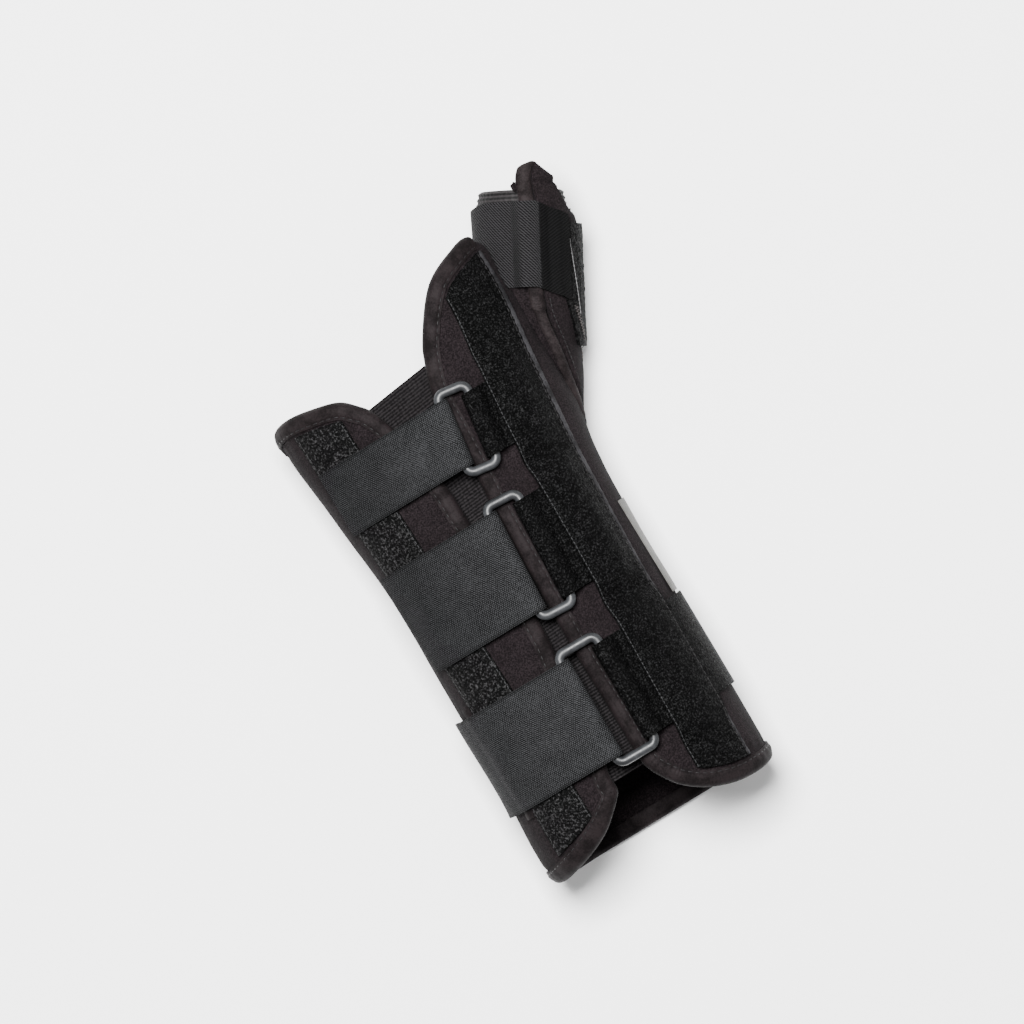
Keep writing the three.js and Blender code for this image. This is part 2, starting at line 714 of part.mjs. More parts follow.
function thumbElastic() {
  const ribs = 3;
  const pitch = elasticWidth / ribs;
  const outer = [];
  for (let i = 0; i < ribs; i += 1) {
    outer.push({ along: i * pitch, out: -elasticRib });
    outer.push({ along: (i + 0.5) * pitch, out: 0 });
  }
  const profile = [...outer, { along: elasticWidth, out: -elasticThick }, { along: 0, out: -elasticThick }];
  const place = (u, j) => {
    const { along, out } = profile[j];
    const drawnIn = (elasticTaper * along) / elasticWidth;
    return thumbPoint(sleeveLength + gap + along, u * 2 * Math.PI, out - gap - drawnIn);
  };
  return hoop(32, profile.length, place);
}

const toTurn = THREE.MathUtils.degToRad;
const staySides = reader(stayOutline, ["along", sleeveLength], ["left", "right"], [1, 1]);
const meanRadius = (thumbHalfWidth + thumbHalfHeight) / 2;
const halfBinding = stayBindingWidth / 2 / meanRadius;
const clearOfBody = () => bodyPlug(0.5 * bodyLength, bodyLength, gap);

function stayPanel() {
  const panel = sheet(20, 7, (u, v, side) => {
    const along = THREE.MathUtils.lerp(stayOutline[0].along, stayOutline.at(-1).along, u) * sleeveLength;
    const [left, right] = staySides(along).map(toTurn);
    const turn = THREE.MathUtils.lerp(left + halfBinding + gap / meanRadius, right, v);
    return thumbPoint(along, turn, gap + side * stayThick);
  });
  return geometryOf(solid(panel).subtract(clearOfBody()));
}

function stayBinding() {
  const strip = sheet(22, 2, (u, v, side) => {
    const along = THREE.MathUtils.lerp(stayOutline[0].along, stayOutline.at(-1).along, u) * sleeveLength;
    const turn = toTurn(staySides(along)[0]) + (2 * v - 1) * halfBinding;
    return thumbPoint(along, turn, gap + side * stayThick * (0.6 + 0.4 * Math.sin(Math.PI * v)));
  });
  return geometryOf(solid(strip).subtract(clearOfBody()));
}

const onStay = 2 * gap + stayThick;
// Its corner nearest the wrist is cut away.
const thumbPileTurns = { corner: toTurn(62), from: toTurn(40), to: toTurn(97) };
function thumbPile() {
  return sheet(4, 8, (u, v, side) => {
    const near = THREE.MathUtils.lerp(thumbPileTurns.corner, thumbPileTurns.from, Math.min(2 * u, 1));
    const turn = THREE.MathUtils.lerp(near, thumbPileTurns.to, v);
    return thumbPoint(thumbPileStart + u * thumbPileLength, turn, onStay + side * pileThick);
  });
}

// Strap: from the sleeve's outer side round under it, up its inner side and over the panel on to the pile. It
// leans back towards the wrist once it is over the panel's edge.
const thumbStrapTurns = { from: toTurn(-254), edge: toTurn(12), to: toTurn(46) };
const strapLean = 5; // how far back its end lies
function thumbStrap() {
  const { from, edge, to } = thumbStrapTurns;
  return sheet(56, 1, (u, v, side) => {
    const turn = THREE.MathUtils.lerp(from, to, u);
    const overPanel = THREE.MathUtils.smoothstep(turn, toTurn(-9), toTurn(3));
    const overPile = THREE.MathUtils.smoothstep(turn, toTurn(24), toTurn(37));
    const low = THREE.MathUtils.lerp(gap, onStay, overPanel);
    const out = low + overPile * (gap + pileThick) + side * webThick;
    const back = strapLean * Math.max((turn - edge) / (to - edge), 0);
    return thumbPoint(thumbWebStart + v * thumbWebWidth - back, turn, out);
  });
}

const group = new THREE.Group();
group.position.y = -wristAlong;

function add(name, geometry, { colour, roughness, metalness = 0 }) {
  const material = new THREE.MeshStandardMaterial({ color: colour, roughness, metalness });
  const mesh = new THREE.Mesh(geometry, material);
  mesh.name = name;
  group.add(mesh);
}

const laminate = { colour: 0x2b2524, roughness: 0.85 };
const tape = { colour: 0x332a2a, roughness: 0.75 };
const pile = { colour: 0x151517, roughness: 0.95 };
const webbing = { colour: 0x3a3a3d, roughness: 0.8 };
const knit = { colour: 0x1d1b1c, roughness: 0.9 };
const grey = { colour: 0x9a9c9e, roughness: 0.35, metalness: 0.6 };
const pale = { colour: 0xa9aaa6, roughness: 0.7 };

add("body_shell", bodyShell(), laminate);
add("edge_binding", edgeBinding(), tape);
add("knit_tongue", knitTongue(), knit);
const radialEnds = {
  forearm: [rowShare(6), rowShare(14)],
  hand: [rowShare(3), rowShare(-5)],
  turns: () => 0,
};
const ulnarEnds = {
  forearm: [rowShare(ulnarRow + 4), rowShare(ulnarRow - 5)],
  hand: [rowShare(handRow - 4), rowShare(handRow + 4)],
  turns: (along) => section(along).round,
};
add("radial_pile_strip", pileStrip(radialInner, 1, radialPileWidth, radialEnds, 44, overTabs), pile);
add("ulnar_pile_strip", pileStrip(ulnarInner, -1, ulnarPileWidth, ulnarEnds, 20, () => 0), pile);
fastened.forEach((ring, i) => {
  add(`ring_${i + 1}`, ringGeometry(ring), grey);
  add(`pile_tab_${i + 1}`, pileTab(ring), pile);
  add(`strap_${i + 1}`, strap(ring), webbing);
});
add("strap_3_under_fold", underFold(), tape);
add("side_label", sideLabel(), pale);
add("thumb_sleeve", thumbSleeve(), laminate);
add("thumb_elastic_band", thumbElastic(), knit);
add("thumb_stay_panel", stayPanel(), laminate);
add("thumb_stay_binding", stayBinding(), tape);
add("thumb_pile_strip", thumbPile(), pile);
add("thumb_strap", thumbStrap(), webbing);

export default group;
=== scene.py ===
# A left-hand wrist and thumb splint, lying palm down with its three straps fastened.
# The pieces are worked out in millimetres, in the plan that runs from the forearm edge to the fingers, and
# become metres in the CAD model's frame when they are laid in place.
import math

import bpy
import numpy as np
from mathutils import Matrix, Vector
from mathutils.kdtree import KDTree


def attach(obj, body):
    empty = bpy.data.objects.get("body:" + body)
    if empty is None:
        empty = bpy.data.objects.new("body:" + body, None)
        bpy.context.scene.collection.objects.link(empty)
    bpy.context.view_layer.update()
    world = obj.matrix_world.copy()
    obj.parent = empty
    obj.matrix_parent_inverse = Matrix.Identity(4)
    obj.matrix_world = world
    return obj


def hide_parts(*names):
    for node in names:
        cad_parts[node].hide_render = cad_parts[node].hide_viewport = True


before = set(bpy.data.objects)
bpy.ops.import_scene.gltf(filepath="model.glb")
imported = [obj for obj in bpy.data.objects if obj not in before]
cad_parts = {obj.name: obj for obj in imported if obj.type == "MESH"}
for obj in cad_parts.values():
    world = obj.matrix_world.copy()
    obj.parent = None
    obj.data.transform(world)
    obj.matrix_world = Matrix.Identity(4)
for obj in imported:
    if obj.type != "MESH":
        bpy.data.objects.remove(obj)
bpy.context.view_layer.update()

# Studio: a pale floor, a strong light from nearly overhead, a weak broad one from the right, and a long lens
# straight above that is turned so the forearm end points down to the right.


def made(name, shape, **settings):
    """One of Blender's ready mesh shapes, such as a plane or a grid."""
    getattr(bpy.ops.mesh, f"primitive_{shape}_add")(**settings)
    piece = bpy.context.object
    piece.name = piece.data.name = name
    return piece


floor = made("floor", "plane", size=6)
paper = bpy.data.materials.new("floor_paper")
paper.use_nodes = True
paper_inputs = paper.node_tree.nodes["Principled BSDF"].inputs
paper_inputs["Base Color"].default_value = (0.96, 0.96, 0.96, 1)
paper_inputs["Roughness"].default_value = 0.9
floor.data.materials.append(paper)

view_turn = math.radians(-31.34)
view_middle = Vector((0.0108, 0.0307, 0.045))
view_width = 0.3568
lens = 300
sensor_width = 36
distance = view_width * lens / sensor_width
bpy.ops.object.camera_add(location=view_middle + Vector((0, 0, distance)), rotation=(0, 0, view_turn))
camera = bpy.context.object
camera.data.lens = lens
bpy.context.scene.camera = camera


def soft_light(name, right, up, height, size, power):
    """An area light placed by the picture's own right and up, aimed at the splint."""
    ahead = Vector((math.cos(view_turn), math.sin(view_turn), 0)) * right
    ahead += Vector((-math.sin(view_turn), math.cos(view_turn), 0)) * up
    place = view_middle + ahead + Vector((0, 0, height))
    aim = (view_middle - place).to_track_quat("-Z", "Y").to_euler()
    bpy.ops.object.light_add(type="AREA", location=place, rotation=aim)
    light = bpy.context.object
    light.name = name
    light.data.size = size
    light.data.energy = power


soft_light("key_light", -0.2, 0.3, 1.5, 0.5, 120)
soft_light("fill_light", 0.9, -0.2, 1.0, 1.2, 4)
world = bpy.data.worlds.new("studio")
world.use_nodes = True
background = world.node_tree.nodes["Background"].inputs
background["Color"].default_value = (1, 1, 1, 1)
background["Strength"].default_value = 0.4
bpy.context.scene.world = world

# Body shell: one padded laminate of foam between two brushed cloths, sewn to a tube that is open along the
# back of the hand. Its surface is a row of rounded sections, on which everything else is laid.
wrist_along = 90
body_length = 211
hand_width = 98
body_height = 64
body_wall = 3.5
section_power = 2.4
below_floor = 2.5
floor_round = 1.3
gap = 0.35
palm_end = 0.835
sections = np.array([
    [-0.02, -0.43, 0.446, 0.98],
    [0.07, -0.455, 0.458, 1],
    [0.16, -0.432, 0.46, 1],
    [0.31, -0.43, 0.463, 0.985],
    [0.45, -0.422, 0.465, 0.955],
    [0.54, -0.423, 0.475, 0.94],
    [0.61, -0.428, 0.49, 0.925],
    [0.67, -0.438, 0.516, 0.91],
    [0.74, -0.453, 0.539, 0.9],
    [0.82, -0.468, 0.55, 0.89],
    [0.88, -0.47, 0.55, 0.885],
    [1.02, -0.47, 0.543, 0.87],
])


def through(places, values, at):
    """The values of a table on a smooth curve through its rows, level at both ends."""
    places, values = np.asarray(places, float), np.asarray(values, float)
    at = np.clip(np.asarray(at, float), places[0], places[-1])
    steepness = np.diff(values) / np.diff(places)
    slopes = np.concatenate([[0], (steepness[1:] + steepness[:-1]) / 2, [0]])
    high = np.clip(np.searchsorted(places, at, side="right"), 1, len(places) - 1)
    low = high - 1
    width = places[high] - places[low]
    share = (at - places[low]) / width
    square, cube = share**2, share**3
    return (
        values[low]
        + (values[high] - values[low]) * (3 * square - 2 * cube)
        + width * (slopes[low] * (cube - 2 * square + share) + slopes[high] * (cube - square))
    )


def eased(value, low, high):
    """A smooth step from 0 at low to 1 at high."""
    share = np.clip((value - low) / (high - low), 0, 1)
    return share * share * (3 - 2 * share)


def bump(value, middle, width):
    """1 at the middle, fading smoothly on both sides."""
    return np.exp(-(((value - middle) / width) ** 2))


def running(lengths):
    """The way covered before each of a row of lengths, and after the last."""
    return np.concatenate([[0], np.cumsum(lengths)])


row_step = 0.5
rows = np.arange(-6, 219, row_step)
row_left, row_right, row_tall = (
    through(sections[:, 0] * body_length, sections[:, i], rows) * size
    for i, size in ((1, hand_width), (2, hand_width), (3, body_height))
)
turn_steps = 240
round_steps = 720
slope_steps = 4
turns = np.linspace(0, 2 * np.pi, turn_steps + 1)
row_way, row_round, row_table = [], [], []
for along, left, right, tall in zip(rows, row_left, row_right, row_tall, strict=True):
    half_height = (tall + below_floor) / 2
    side = np.sign(np.sin(turns)) * np.abs(np.sin(turns)) ** (2 / section_power)
    up = np.sign(np.cos(turns)) * np.abs(np.cos(turns)) ** (2 / section_power)
    x = (left + right) / 2 + (right - left) / 2 * side
    z = tall - half_height + half_height * up
    base = 1.4 * (1 - eased(min(along, palm_end * body_length - along), 7.54, 34))
    flattened = base + np.maximum(z - base + floor_round, 0) ** 2 / (4 * floor_round)
    z = np.where(z > base + floor_round, z, flattened)
    way = running(np.hypot(np.diff(x), np.diff(z)))
    before = (np.arange(turn_steps + 1) - slope_steps) % turn_steps
    after = (np.arange(turn_steps + 1) + slope_steps) % turn_steps
    normal_x, normal_z = z[before] - z[after], x[after] - x[before]
    size = np.hypot(normal_x, normal_z)
    spread = np.linspace(0, way[-1], round_steps + 1)
    row_table.append([np.interp(spread, way, column) for column in (x, z, normal_x / size, normal_z / size)])
    row_way.append(way)
    row_round.append(way[-1])
row_way, row_round, row_table = np.array(row_way), np.array(row_round), np.array(row_table)


def round_at(along):
    """The whole way round the body at a place along it."""
    return np.interp(along, rows, row_round)


def lay(around, along, out=0.0):
    """Plan points at a way round the body from the middle of its back, a place along it and a height."""
    around, along, out = np.broadcast_arrays(*(np.asarray(x, float) for x in (around, along, out)))
    row = np.clip((along - rows[0]) / row_step, 0, len(rows) - 1.001)
    low = row.astype(int)
    row_share = row - low
    place = (around / round_at(along)) % 1 * round_steps
    left = np.minimum(place.astype(int), round_steps - 1)
    place_share = place - left

    def read(column):
        table = row_table[:, column]
        near = table[low, left] * (1 - place_share) + table[low, left + 1] * place_share
        far = table[low + 1, left] * (1 - place_share) + table[low + 1, left + 1] * place_share
        return near * (1 - row_share) + far * row_share

    x, z, normal_x, normal_z = (read(column) for column in range(4))
    size = np.hypot(normal_x, normal_z)
    return np.stack([x + out * normal_x / size, along, z + out * normal_z / size], -1)


def around_at(x, along):
    """The way round to the point of the back that is seen at x from above."""
    x, along = np.broadcast_arrays(np.asarray(x, float), np.asarray(along, float))
    left, right = np.interp(along, rows, row_left), np.interp(along, rows, row_right)
    share = np.clip((x - (left + right) / 2) / ((right - left) / 2), -1, 1)
    place = np.arcsin(np.abs(share) ** (section_power / 2)) / (2 * np.pi) * turn_steps
    step = place.astype(int)
    row = np.clip(np.rint((along - rows[0]) / row_step).astype(int), 0, len(rows) - 1)
    way = row_way[row, step] * (1 - place + step) + row_way[row, step + 1] * (place - step)
    return np.sign(share) * way


# The open edge, seen from above along its two sides and by shares of the way round at its two ends.
radial_edge = [
    (0.15, 0.886), (0.119, 0.855), (0.099, 0.829), (0.085, 0.8), (0.064, 0.626), (0.053, 0.5), (0.043, 0.365),
    (0.041, 0.24), (0.04, 0.12), (0.052, 0.094), (0.084, 0.067), (0.117, 0.047),
]
forearm_end = [
    (0.075, 0.02), (0.12, 0.001), (0.17, -0.004), (0.22, -0.002), (0.27, 0), (0.32, 0.002), (0.37, 0.003),
    (0.42, 0.004), (0.5, 0.004), (0.58, 0.004), (0.63, 0.004), (0.68, 0.004), (0.74, 0.004), (0.81, 0.006),
    (0.88, 0.022),
]
ulnar_edge = [
    (-0.18, 0.047), (-0.105, 0.078), (-0.081, 0.093), (-0.078, 0.125), (-0.014, 0.351), (-0.009, 0.389),
    (-0.037, 0.597), (-0.041, 0.661), (-0.099, 0.794), (-0.136, 0.837), (-0.162, 0.852), (-0.213, 0.874),
]
hand_end = [
    (0.865, 0.888), (0.82, 0.895), (0.77, 0.89), (0.72, 0.872), (0.67, 0.852), (0.61, 0.84), (0.5, palm_end),
    (0.4, 0.84), (0.35, 0.86), (0.3, 0.9), (0.255, 0.95), (0.216, 0.973), (0.184, 1), (0.144, 0.992),
    (0.094, 0.9644),
]
edge_knots = []
for table, seen_from_above, whole_turns in (
    (radial_edge, True, 0),
    (forearm_end, False, 0),
    (ulnar_edge, True, 1),
    (hand_end, False, 0),
):
    for across, along_share in table:
        along = along_share * body_length
        around = around_at(across * hand_width, along) if seen_from_above else across * round_at(along)
        edge_knots.append([float(around + whole_turns * round_at(along)), along])
edge_knots = np.array(edge_knots)
edge_rows = len(edge_knots)
ulnar_row = len(radial_edge) + len(forearm_end)
hand_row = ulnar_row + len(ulnar_edge)


def on_edge(row):
    """Points of the open edge on the flat cut, by row of its tables, on a closed curve through them."""
    row = np.asarray(row, float) % edge_rows
    index = np.floor(row).astype(int)
    share = (row - index)[..., None]
    a, b, c, d = (edge_knots[(index + step) % edge_rows] for step in (-1, 0, 1, 2))
    first, middle, last = (
        np.sqrt(np.linalg.norm(p - q, axis=-1))[..., None] for p, q in ((b, a), (c, b), (d, c))
    )
    leaving = ((b - a) / first - (c - a) / (first + middle) + (c - b) / middle) * middle
    arriving = ((c - b) / middle - (d - b) / (middle + last) + (d - c) / last) * middle
    square, cube = share**2, share**3
    return (
        b
        + leaving * share
        + (3 * (c - b) - 2 * leaving - arriving) * square
        + (2 * (b - c) + leaving + arriving) * cube
    )


def inside_edge(row, inwards):
    """A place on the flat cut that lies inwards of the open edge, square to it."""
    ahead = on_edge(np.asarray(row) + 0.01) - on_edge(np.asarray(row) - 0.01)
    ahead = ahead / np.linalg.norm(ahead, axis=-1, keepdims=True)
    point = on_edge(row)
    return point[..., 0] - ahead[..., 1] * inwards, point[..., 1] + ahead[..., 0] * inwards


def placed(points):
    """Plan millimetres as metres in the CAD frame."""
    return (np.asarray(points, float) - [0, wrist_along, 0]) * 0.001


def picked(piece):
    """Selects this piece alone."""
    bpy.ops.object.select_all(action="DESELECT")
    piece.select_set(True)
    bpy.context.view_layer.objects.active = piece


def apply_modifier(piece, kind, **settings):
    """Adds a modifier to the piece and makes its result the mesh."""
    picked(piece)
    modifier = piece.modifiers.new(kind.lower(), kind)
    for name, value in settings.items():
        setattr(modifier, name, value)
    bpy.ops.object.modifier_apply(modifier=modifier.name)


def smooth_shaded(piece, faces_out=False):
    """Shades a piece smoothly, with its faces turned outwards first where they may not be."""
    picked(piece)
    if faces_out:
        bpy.ops.object.mode_set(mode="EDIT")
        bpy.ops.mesh.select_all(action="SELECT")
        bpy.ops.mesh.normals_make_consistent(inside=False)
        bpy.ops.object.mode_set(mode="OBJECT")
    bpy.ops.object.shade_smooth()


def traced(name, node, voxel_mm, smoothing, finish):
    """A soft skin over a copy of a CAD node: merged, remeshed finely and smoothed."""
    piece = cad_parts[node].copy()
    piece.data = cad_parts[node].data.copy()
    for key in list(piece.keys()):
        del piece[key]
    bpy.context.scene.collection.objects.link(piece)
    piece.parent = None
    piece.name = piece.data.name = name
    picked(piece)
    bpy.ops.object.mode_set(mode="EDIT")
    bpy.ops.mesh.select_all(action="SELECT")
    bpy.ops.mesh.remove_doubles(threshold=1e-6)
    bpy.ops.object.mode_set(mode="OBJECT")
    piece.data.materials.clear()
    piece.data.materials.append(finish)
    apply_modifier(piece, "REMESH", mode="VOXEL", voxel_size=voxel_mm * 0.001)
    apply_modifier(piece, "SMOOTH", factor=0.5, iterations=smoothing)
    smooth_shaded(piece)
    return piece


def points_of(piece):
    """A mesh's vertices as a table."""
    points = np.empty(len(piece.data.vertices) * 3, np.float32)
    piece.data.vertices.foreach_get("co", points)
    return points.reshape(-1, 3).astype(float)


def set_points(piece, points):
    """Moves a mesh's vertices to the places in a table."""
    piece.data.vertices.foreach_set("co", np.asarray(points, np.float32).ravel())
    piece.data.update()


def nearest_on(line, points):
    """How far each point is from a line of points, and how far along the line its nearest one is."""
    tree = KDTree(len(line))
    for i, point in enumerate(line):
        tree.insert(point, i)
    tree.balance()
    found = [tree.find(point) for point in points]
    way = running(np.linalg.norm(np.diff(line, axis=0), axis=1))
    return np.array([f[2] for f in found]), way[np.array([f[1] for f in found])]


class Wire:
    """An output of a node, on which sums are written as plain expressions."""

    def __init__(self, finish, socket):
        self.finish = finish
        self.socket = socket

    def __add__(self, other):
        return self.finish.sum("ADD", self, other)

    def __sub__(self, other):
        return self.finish.sum("SUBTRACT", self, other)

    def __rsub__(self, other):
        return self.finish.sum("SUBTRACT", other, self)

    def __mul__(self, other):
        return self.finish.sum("MULTIPLY", self, other)


class Finish:
    """A material under way. node() adds any node; sum() a Math node."""

    def __init__(self, name, colour, roughness, constants):
        self.material = bpy.data.materials.new(name)
        self.material.use_nodes = True
        self.material.diffuse_color = (*colour, 1)
        self.tree = self.material.node_tree
        self.shader = self.tree.nodes["Principled BSDF"]
        self.shader.inputs["Base Color"].default_value = (*colour, 1)
        self.shader.inputs["Roughness"].default_value = roughness
        for name, value in constants.items():
            self.shader.inputs[name].default_value = value
        self.place = self.node("ShaderNodeTexCoord", output="Object")

    def node(self, kind, settings=(), inputs=(), output=0):
        added = self.tree.nodes.new(kind)
        for name, value in dict(settings).items():
            setattr(added, name, value)
        for name, value in dict(inputs).items():
            if isinstance(value, Wire):
                self.tree.links.new(value.socket, added.inputs[name])
            else:
                added.inputs[name].default_value = value
        return Wire(self, added.outputs[output])

    def sum(self, operation, *values):
        return self.node("ShaderNodeMath", {"operation": operation}, dict(enumerate(values)))

    def split(self, place):
        """The first two parts of a place."""
        return [self.node("ShaderNodeSeparateXYZ", inputs={0: place}, output=part) for part in (0, 1)]

    def cut_place(self):
        """Millimetres along the piece and across it, on its flat cut."""
        return self.split(self.node("ShaderNodeUVMap", {"uv_map": "cut"}))

    def ribs(self, value, period):
        """Even waves from 0 to 1."""
        return self.sum("SINE", value * (2 * math.pi / period)) * 0.5 + 0.5

    def noise(self, scale, detail, roughness):
        inputs = {"Vector": self.place, "Scale": scale, "Detail": detail, "Roughness": roughness}
        return self.node("ShaderNodeTexNoise", inputs=inputs)

    def between(self, value, low, high, start=0.0, end=1.0):
        inputs = {"Value": value, "From Min": low, "From Max": high, "To Min": start, "To Max": end}
        return self.node("ShaderNodeMapRange", {"interpolation_type": "SMOOTHSTEP"}, inputs)

    def into(self, name, wire):
        self.tree.links.new(wire.socket, self.shader.inputs[name])

    def coloured(self, tone, dark, light):
        """Mixes two colours by the tone."""
        inputs = {0: tone, 6: (*dark, 1), 7: (*light, 1)}
        self.into("Base Color", self.node("ShaderNodeMix", {"data_type": "RGBA"}, inputs, output=2))

    def dulled(self, wear, low, high, start, end):
        """Runs the roughness from start to end as the wear goes from low to high."""
        self.into("Roughness", self.between(wear, low, high, start, end))

    def relief(self, height, depth_mm, strength):
        inputs = {"Height": height, "Distance": depth_mm * 0.001, "Strength": strength}
        self.into("Normal", self.node("ShaderNodeBump", inputs=inputs))


def brushed_cloth(name, dark, light, flecks):
    """Brushed loop cloth: matted fibres in two tones, with broad soft mottling and a fine nap."""
    shine = {"Sheen Weight": 0.006, "Sheen Roughness": 0.6, "Specular IOR Level": 0.04}
    cloth = Finish(name, dark, 0.92, shine)
    nap = cloth.noise(1900, 3, 0.75)
    fibres = cloth.noise(3400, 2, 0.6)
    mottle = cloth.noise(150, 2, 0.5)
    tone = cloth.between(nap * 0.85 + mottle * 0.15, 0.4, 0.66)
    tone = tone * flecks + cloth.between(fibres, 0.5, 0.8) * (1 - flecks)
    cloth.coloured(tone, dark, light)
    cloth.dulled(nap, 0.3, 0.7, 0.98, 0.84)
    cloth.relief(nap * 0.6 + fibres * 0.4, 0.35, 0.6)
    return cloth.material


laminate = brushed_cloth("laminate_cloth", (0.0024, 0.0018, 0.002), (0.0145, 0.0108, 0.012), 0.7)
shell = traced("padded_body_shell", "body_shell", 1.15, 12, laminate)
edge_walk = np.linspace(0, edge_rows, 1600, endpoint=False)
edge_line = placed(lay(*on_edge(edge_walk).T))
points = points_of(shell)
normals = np.array([normal.vector for normal in shell.data.vertex_normals])
from_edge, edge_way = nearest_on(edge_line, points)
plan_x, plan_y, plan_z = (points * 1000 + [0, wrist_along, 0]).T
# The sewn binding draws the cloth into small puckers, and the foam gives in a few long soft waves.
beside_binding = bump(from_edge * 1000, 8.5, 3.2)
pucker = np.sin(edge_way * 1000 / 1.35 + 1.7 * np.sin(edge_way * 1000 / 9)) * 0.16
waves = np.sin(plan_y / 11 + plan_x / 19) * np.sin(plan_y / 27 - plan_x / 8 + 1.3) * 0.35
above_floor = eased(plan_z, 2, 12)
swell = (pucker * beside_binding + waves * (1 - beside_binding) + 0.15) * above_floor
set_points(shell, points + normals * swell[:, None] * 0.001)
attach(shell, "root")
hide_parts("body_shell")


# Edge binding: a bias strip of smooth knit tape folded over the open edge, a little padded, and sewn through
# with one row of lockstitch near its hem.
def crossed(rows, columns):
    """Tables of the row's and the column's place at each crossing, from (first, last, count) of each."""
    return np.meshgrid(np.linspace(*rows), np.linspace(*columns), indexing="ij")


def ways(lattice):
    """The millimetres covered along a lattice's rows and those across them."""
    return [running(np.linalg.norm(np.diff(lattice, axis=i), axis=2).mean(1 - i)) for i in (0, 1)]


def laid_cut(name, lattice, thick, finish):
    """A piece cut flat as a fine grid and laid on a lattice of plan points; its UV map is the flat cut."""
    u_steps, v_steps = lattice.shape[0] - 1, lattice.shape[1] - 1
    piece = made(name, "grid", x_subdivisions=u_steps, y_subdivisions=v_steps, size=2)
    flat = points_of(piece)
    u = np.rint((flat[:, 0] + 1) / 2 * u_steps).astype(int)
    v = np.rint((flat[:, 1] + 1) / 2 * v_steps).astype(int)
    set_points(piece, placed(lattice[u, v]))
    u_way, v_way = ways(lattice)
    corners = np.empty(len(piece.data.loops), np.int32)
    piece.data.loops.foreach_get("vertex_index", corners)
    piece.data.uv_layers[0].name = "cut"
    cut = np.stack([u_way[u[corners]], v_way[v[corners]]], -1)
    piece.data.uv_layers[0].data.foreach_set("uv", cut.astype(np.float32).ravel())
    apply_modifier(piece, "SOLIDIFY", thickness=thick * 0.001, offset=0)
    bpy.ops.object.shade_smooth_by_angle(angle=math.radians(50))
    piece.data.materials.append(finish)
    return piece, (u_way[-1] * 0.001, v_way[-1] * 0.001)


def sewn(name, line, up, pitch, long, thick, thread):
    """A row of small thread stitches along a line of plan points, each lying flat on what it holds."""
    way = running(np.linalg.norm(np.diff(line, axis=0), axis=1))
    middles = np.arange(pitch / 2, way[-1] - pitch / 2, pitch)
    one = made("stitch", "uv_sphere", segments=6, ring_count=4, radius=0.5)
    shape = points_of(one)
    faces = [list(face.vertices) for face in one.data.polygons]
    bpy.data.objects.remove(one)

    def read(values, at):
        return np.stack([np.interp(at, way, values[:, i]) for i in range(3)], -1)

    middle = read(line, middles)
    ahead = read(line, middles + pitch / 3) - read(line, middles - pitch / 3)
    ahead /= np.linalg.norm(ahead, axis=1, keepdims=True)
    above = read(up, middles)
    aside = np.cross(ahead, above)
    aside /= np.linalg.norm(aside, axis=1, keepdims=True)
    above = np.cross(aside, ahead)
    scaled = shape * [thick, thick * 0.8, long]
    copies = (
        middle[:, None]
        + scaled[None, :, 2:3] * ahead[:, None]
        + scaled[None, :, 0:1] * aside[:, None]
        + scaled[None, :, 1:2] * above[:, None]
    )
    mesh = bpy.data.meshes.new(name)
    starts = range(0, len(shape) * len(middles), len(shape))
    all_faces = [[i + start for i in face] for start in starts for face in faces]
    mesh.from_pydata(placed(copies.reshape(-1, 3)).tolist(), [], all_faces)
    piece = bpy.data.objects.new(name, mesh)
    bpy.context.scene.collection.objects.link(piece)
    smooth_shaded(piece, faces_out=True)
    mesh.materials.append(thread)
    return piece


def body_line(around, along, out):
    """A line of plan points on the body and the direction straight out at each."""
    line = lay(around, along, out)
    return line, lay(around, along, np.asarray(out) + 1) - line


def knit_tape(name, dark, light, rib_mm):
    """Close knit tape: fine ribs across it and a soft, slightly shiny face."""
    shine = {"Sheen Weight": 0.004, "Sheen Roughness": 0.5, "Specular IOR Level": 0.05}
    tape = Finish(name, dark, 0.7, shine)
    ribs = tape.ribs(tape.cut_place()[0], rib_mm)
    wear = tape.noise(160, 3, 0.6)
    nap = tape.noise(1800, 2, 0.6)
    tape.coloured(tape.between(wear * 0.6 + nap * 0.4, 0.38, 0.62), dark, light)
    tape.dulled(wear, 0.3, 0.7, 0.8, 0.64)
    tape.relief(ribs * 0.3 + nap * 0.7, 0.12, 0.5)
    return tape.material


def thread_finish(name, colour):
    """Spun polyester thread, its twist just seen."""
    thread = Finish(name, colour, 0.6, {"Specular IOR Level": 0.12})
    twist = thread.noise(3000, 1, 0.5)
    dark = [part * 0.55 for part in colour]
    thread.coloured(thread.between(twist, 0.35, 0.65), dark, colour)
    thread.dulled(twist, 0.3, 0.7, 0.65, 0.45)
    return thread.material


tape_finish = knit_tape("binding_tape", (0.0026, 0.0019, 0.002), (0.0082, 0.0061, 0.0065), 1.1)
thread_dark = thread_finish("thread_black", (0.0095, 0.0088, 0.0092))
binding_width = 5.8
binding_thick = 0.7
binding_rise = 0.72
fold_start = 2.1
fold_depth = 1.75
flat_part = binding_width - fold_start
half_wall = body_wall / 2
top_steps = 9
bend_steps = 11
binding_walk = np.linspace(-3, hand_row + 8, 570)
fold = []
for share in np.linspace(0, 1, top_steps):
    fold.append((binding_width - flat_part * share, binding_rise + 0.42 * math.sin(math.pi * share) ** 0.8))
for turn in np.linspace(0, math.pi, bend_steps + 2)[1:-1]:
    out = (half_wall + binding_rise) * math.cos(turn) - half_wall
    fold.append((fold_start - fold_depth * math.sin(turn), out))
for share in np.linspace(1, 0, 7):
    out = -body_wall - binding_rise - 0.2 * math.sin(math.pi * share)
    fold.append((binding_width - flat_part * share, out))
fold = np.array(fold)
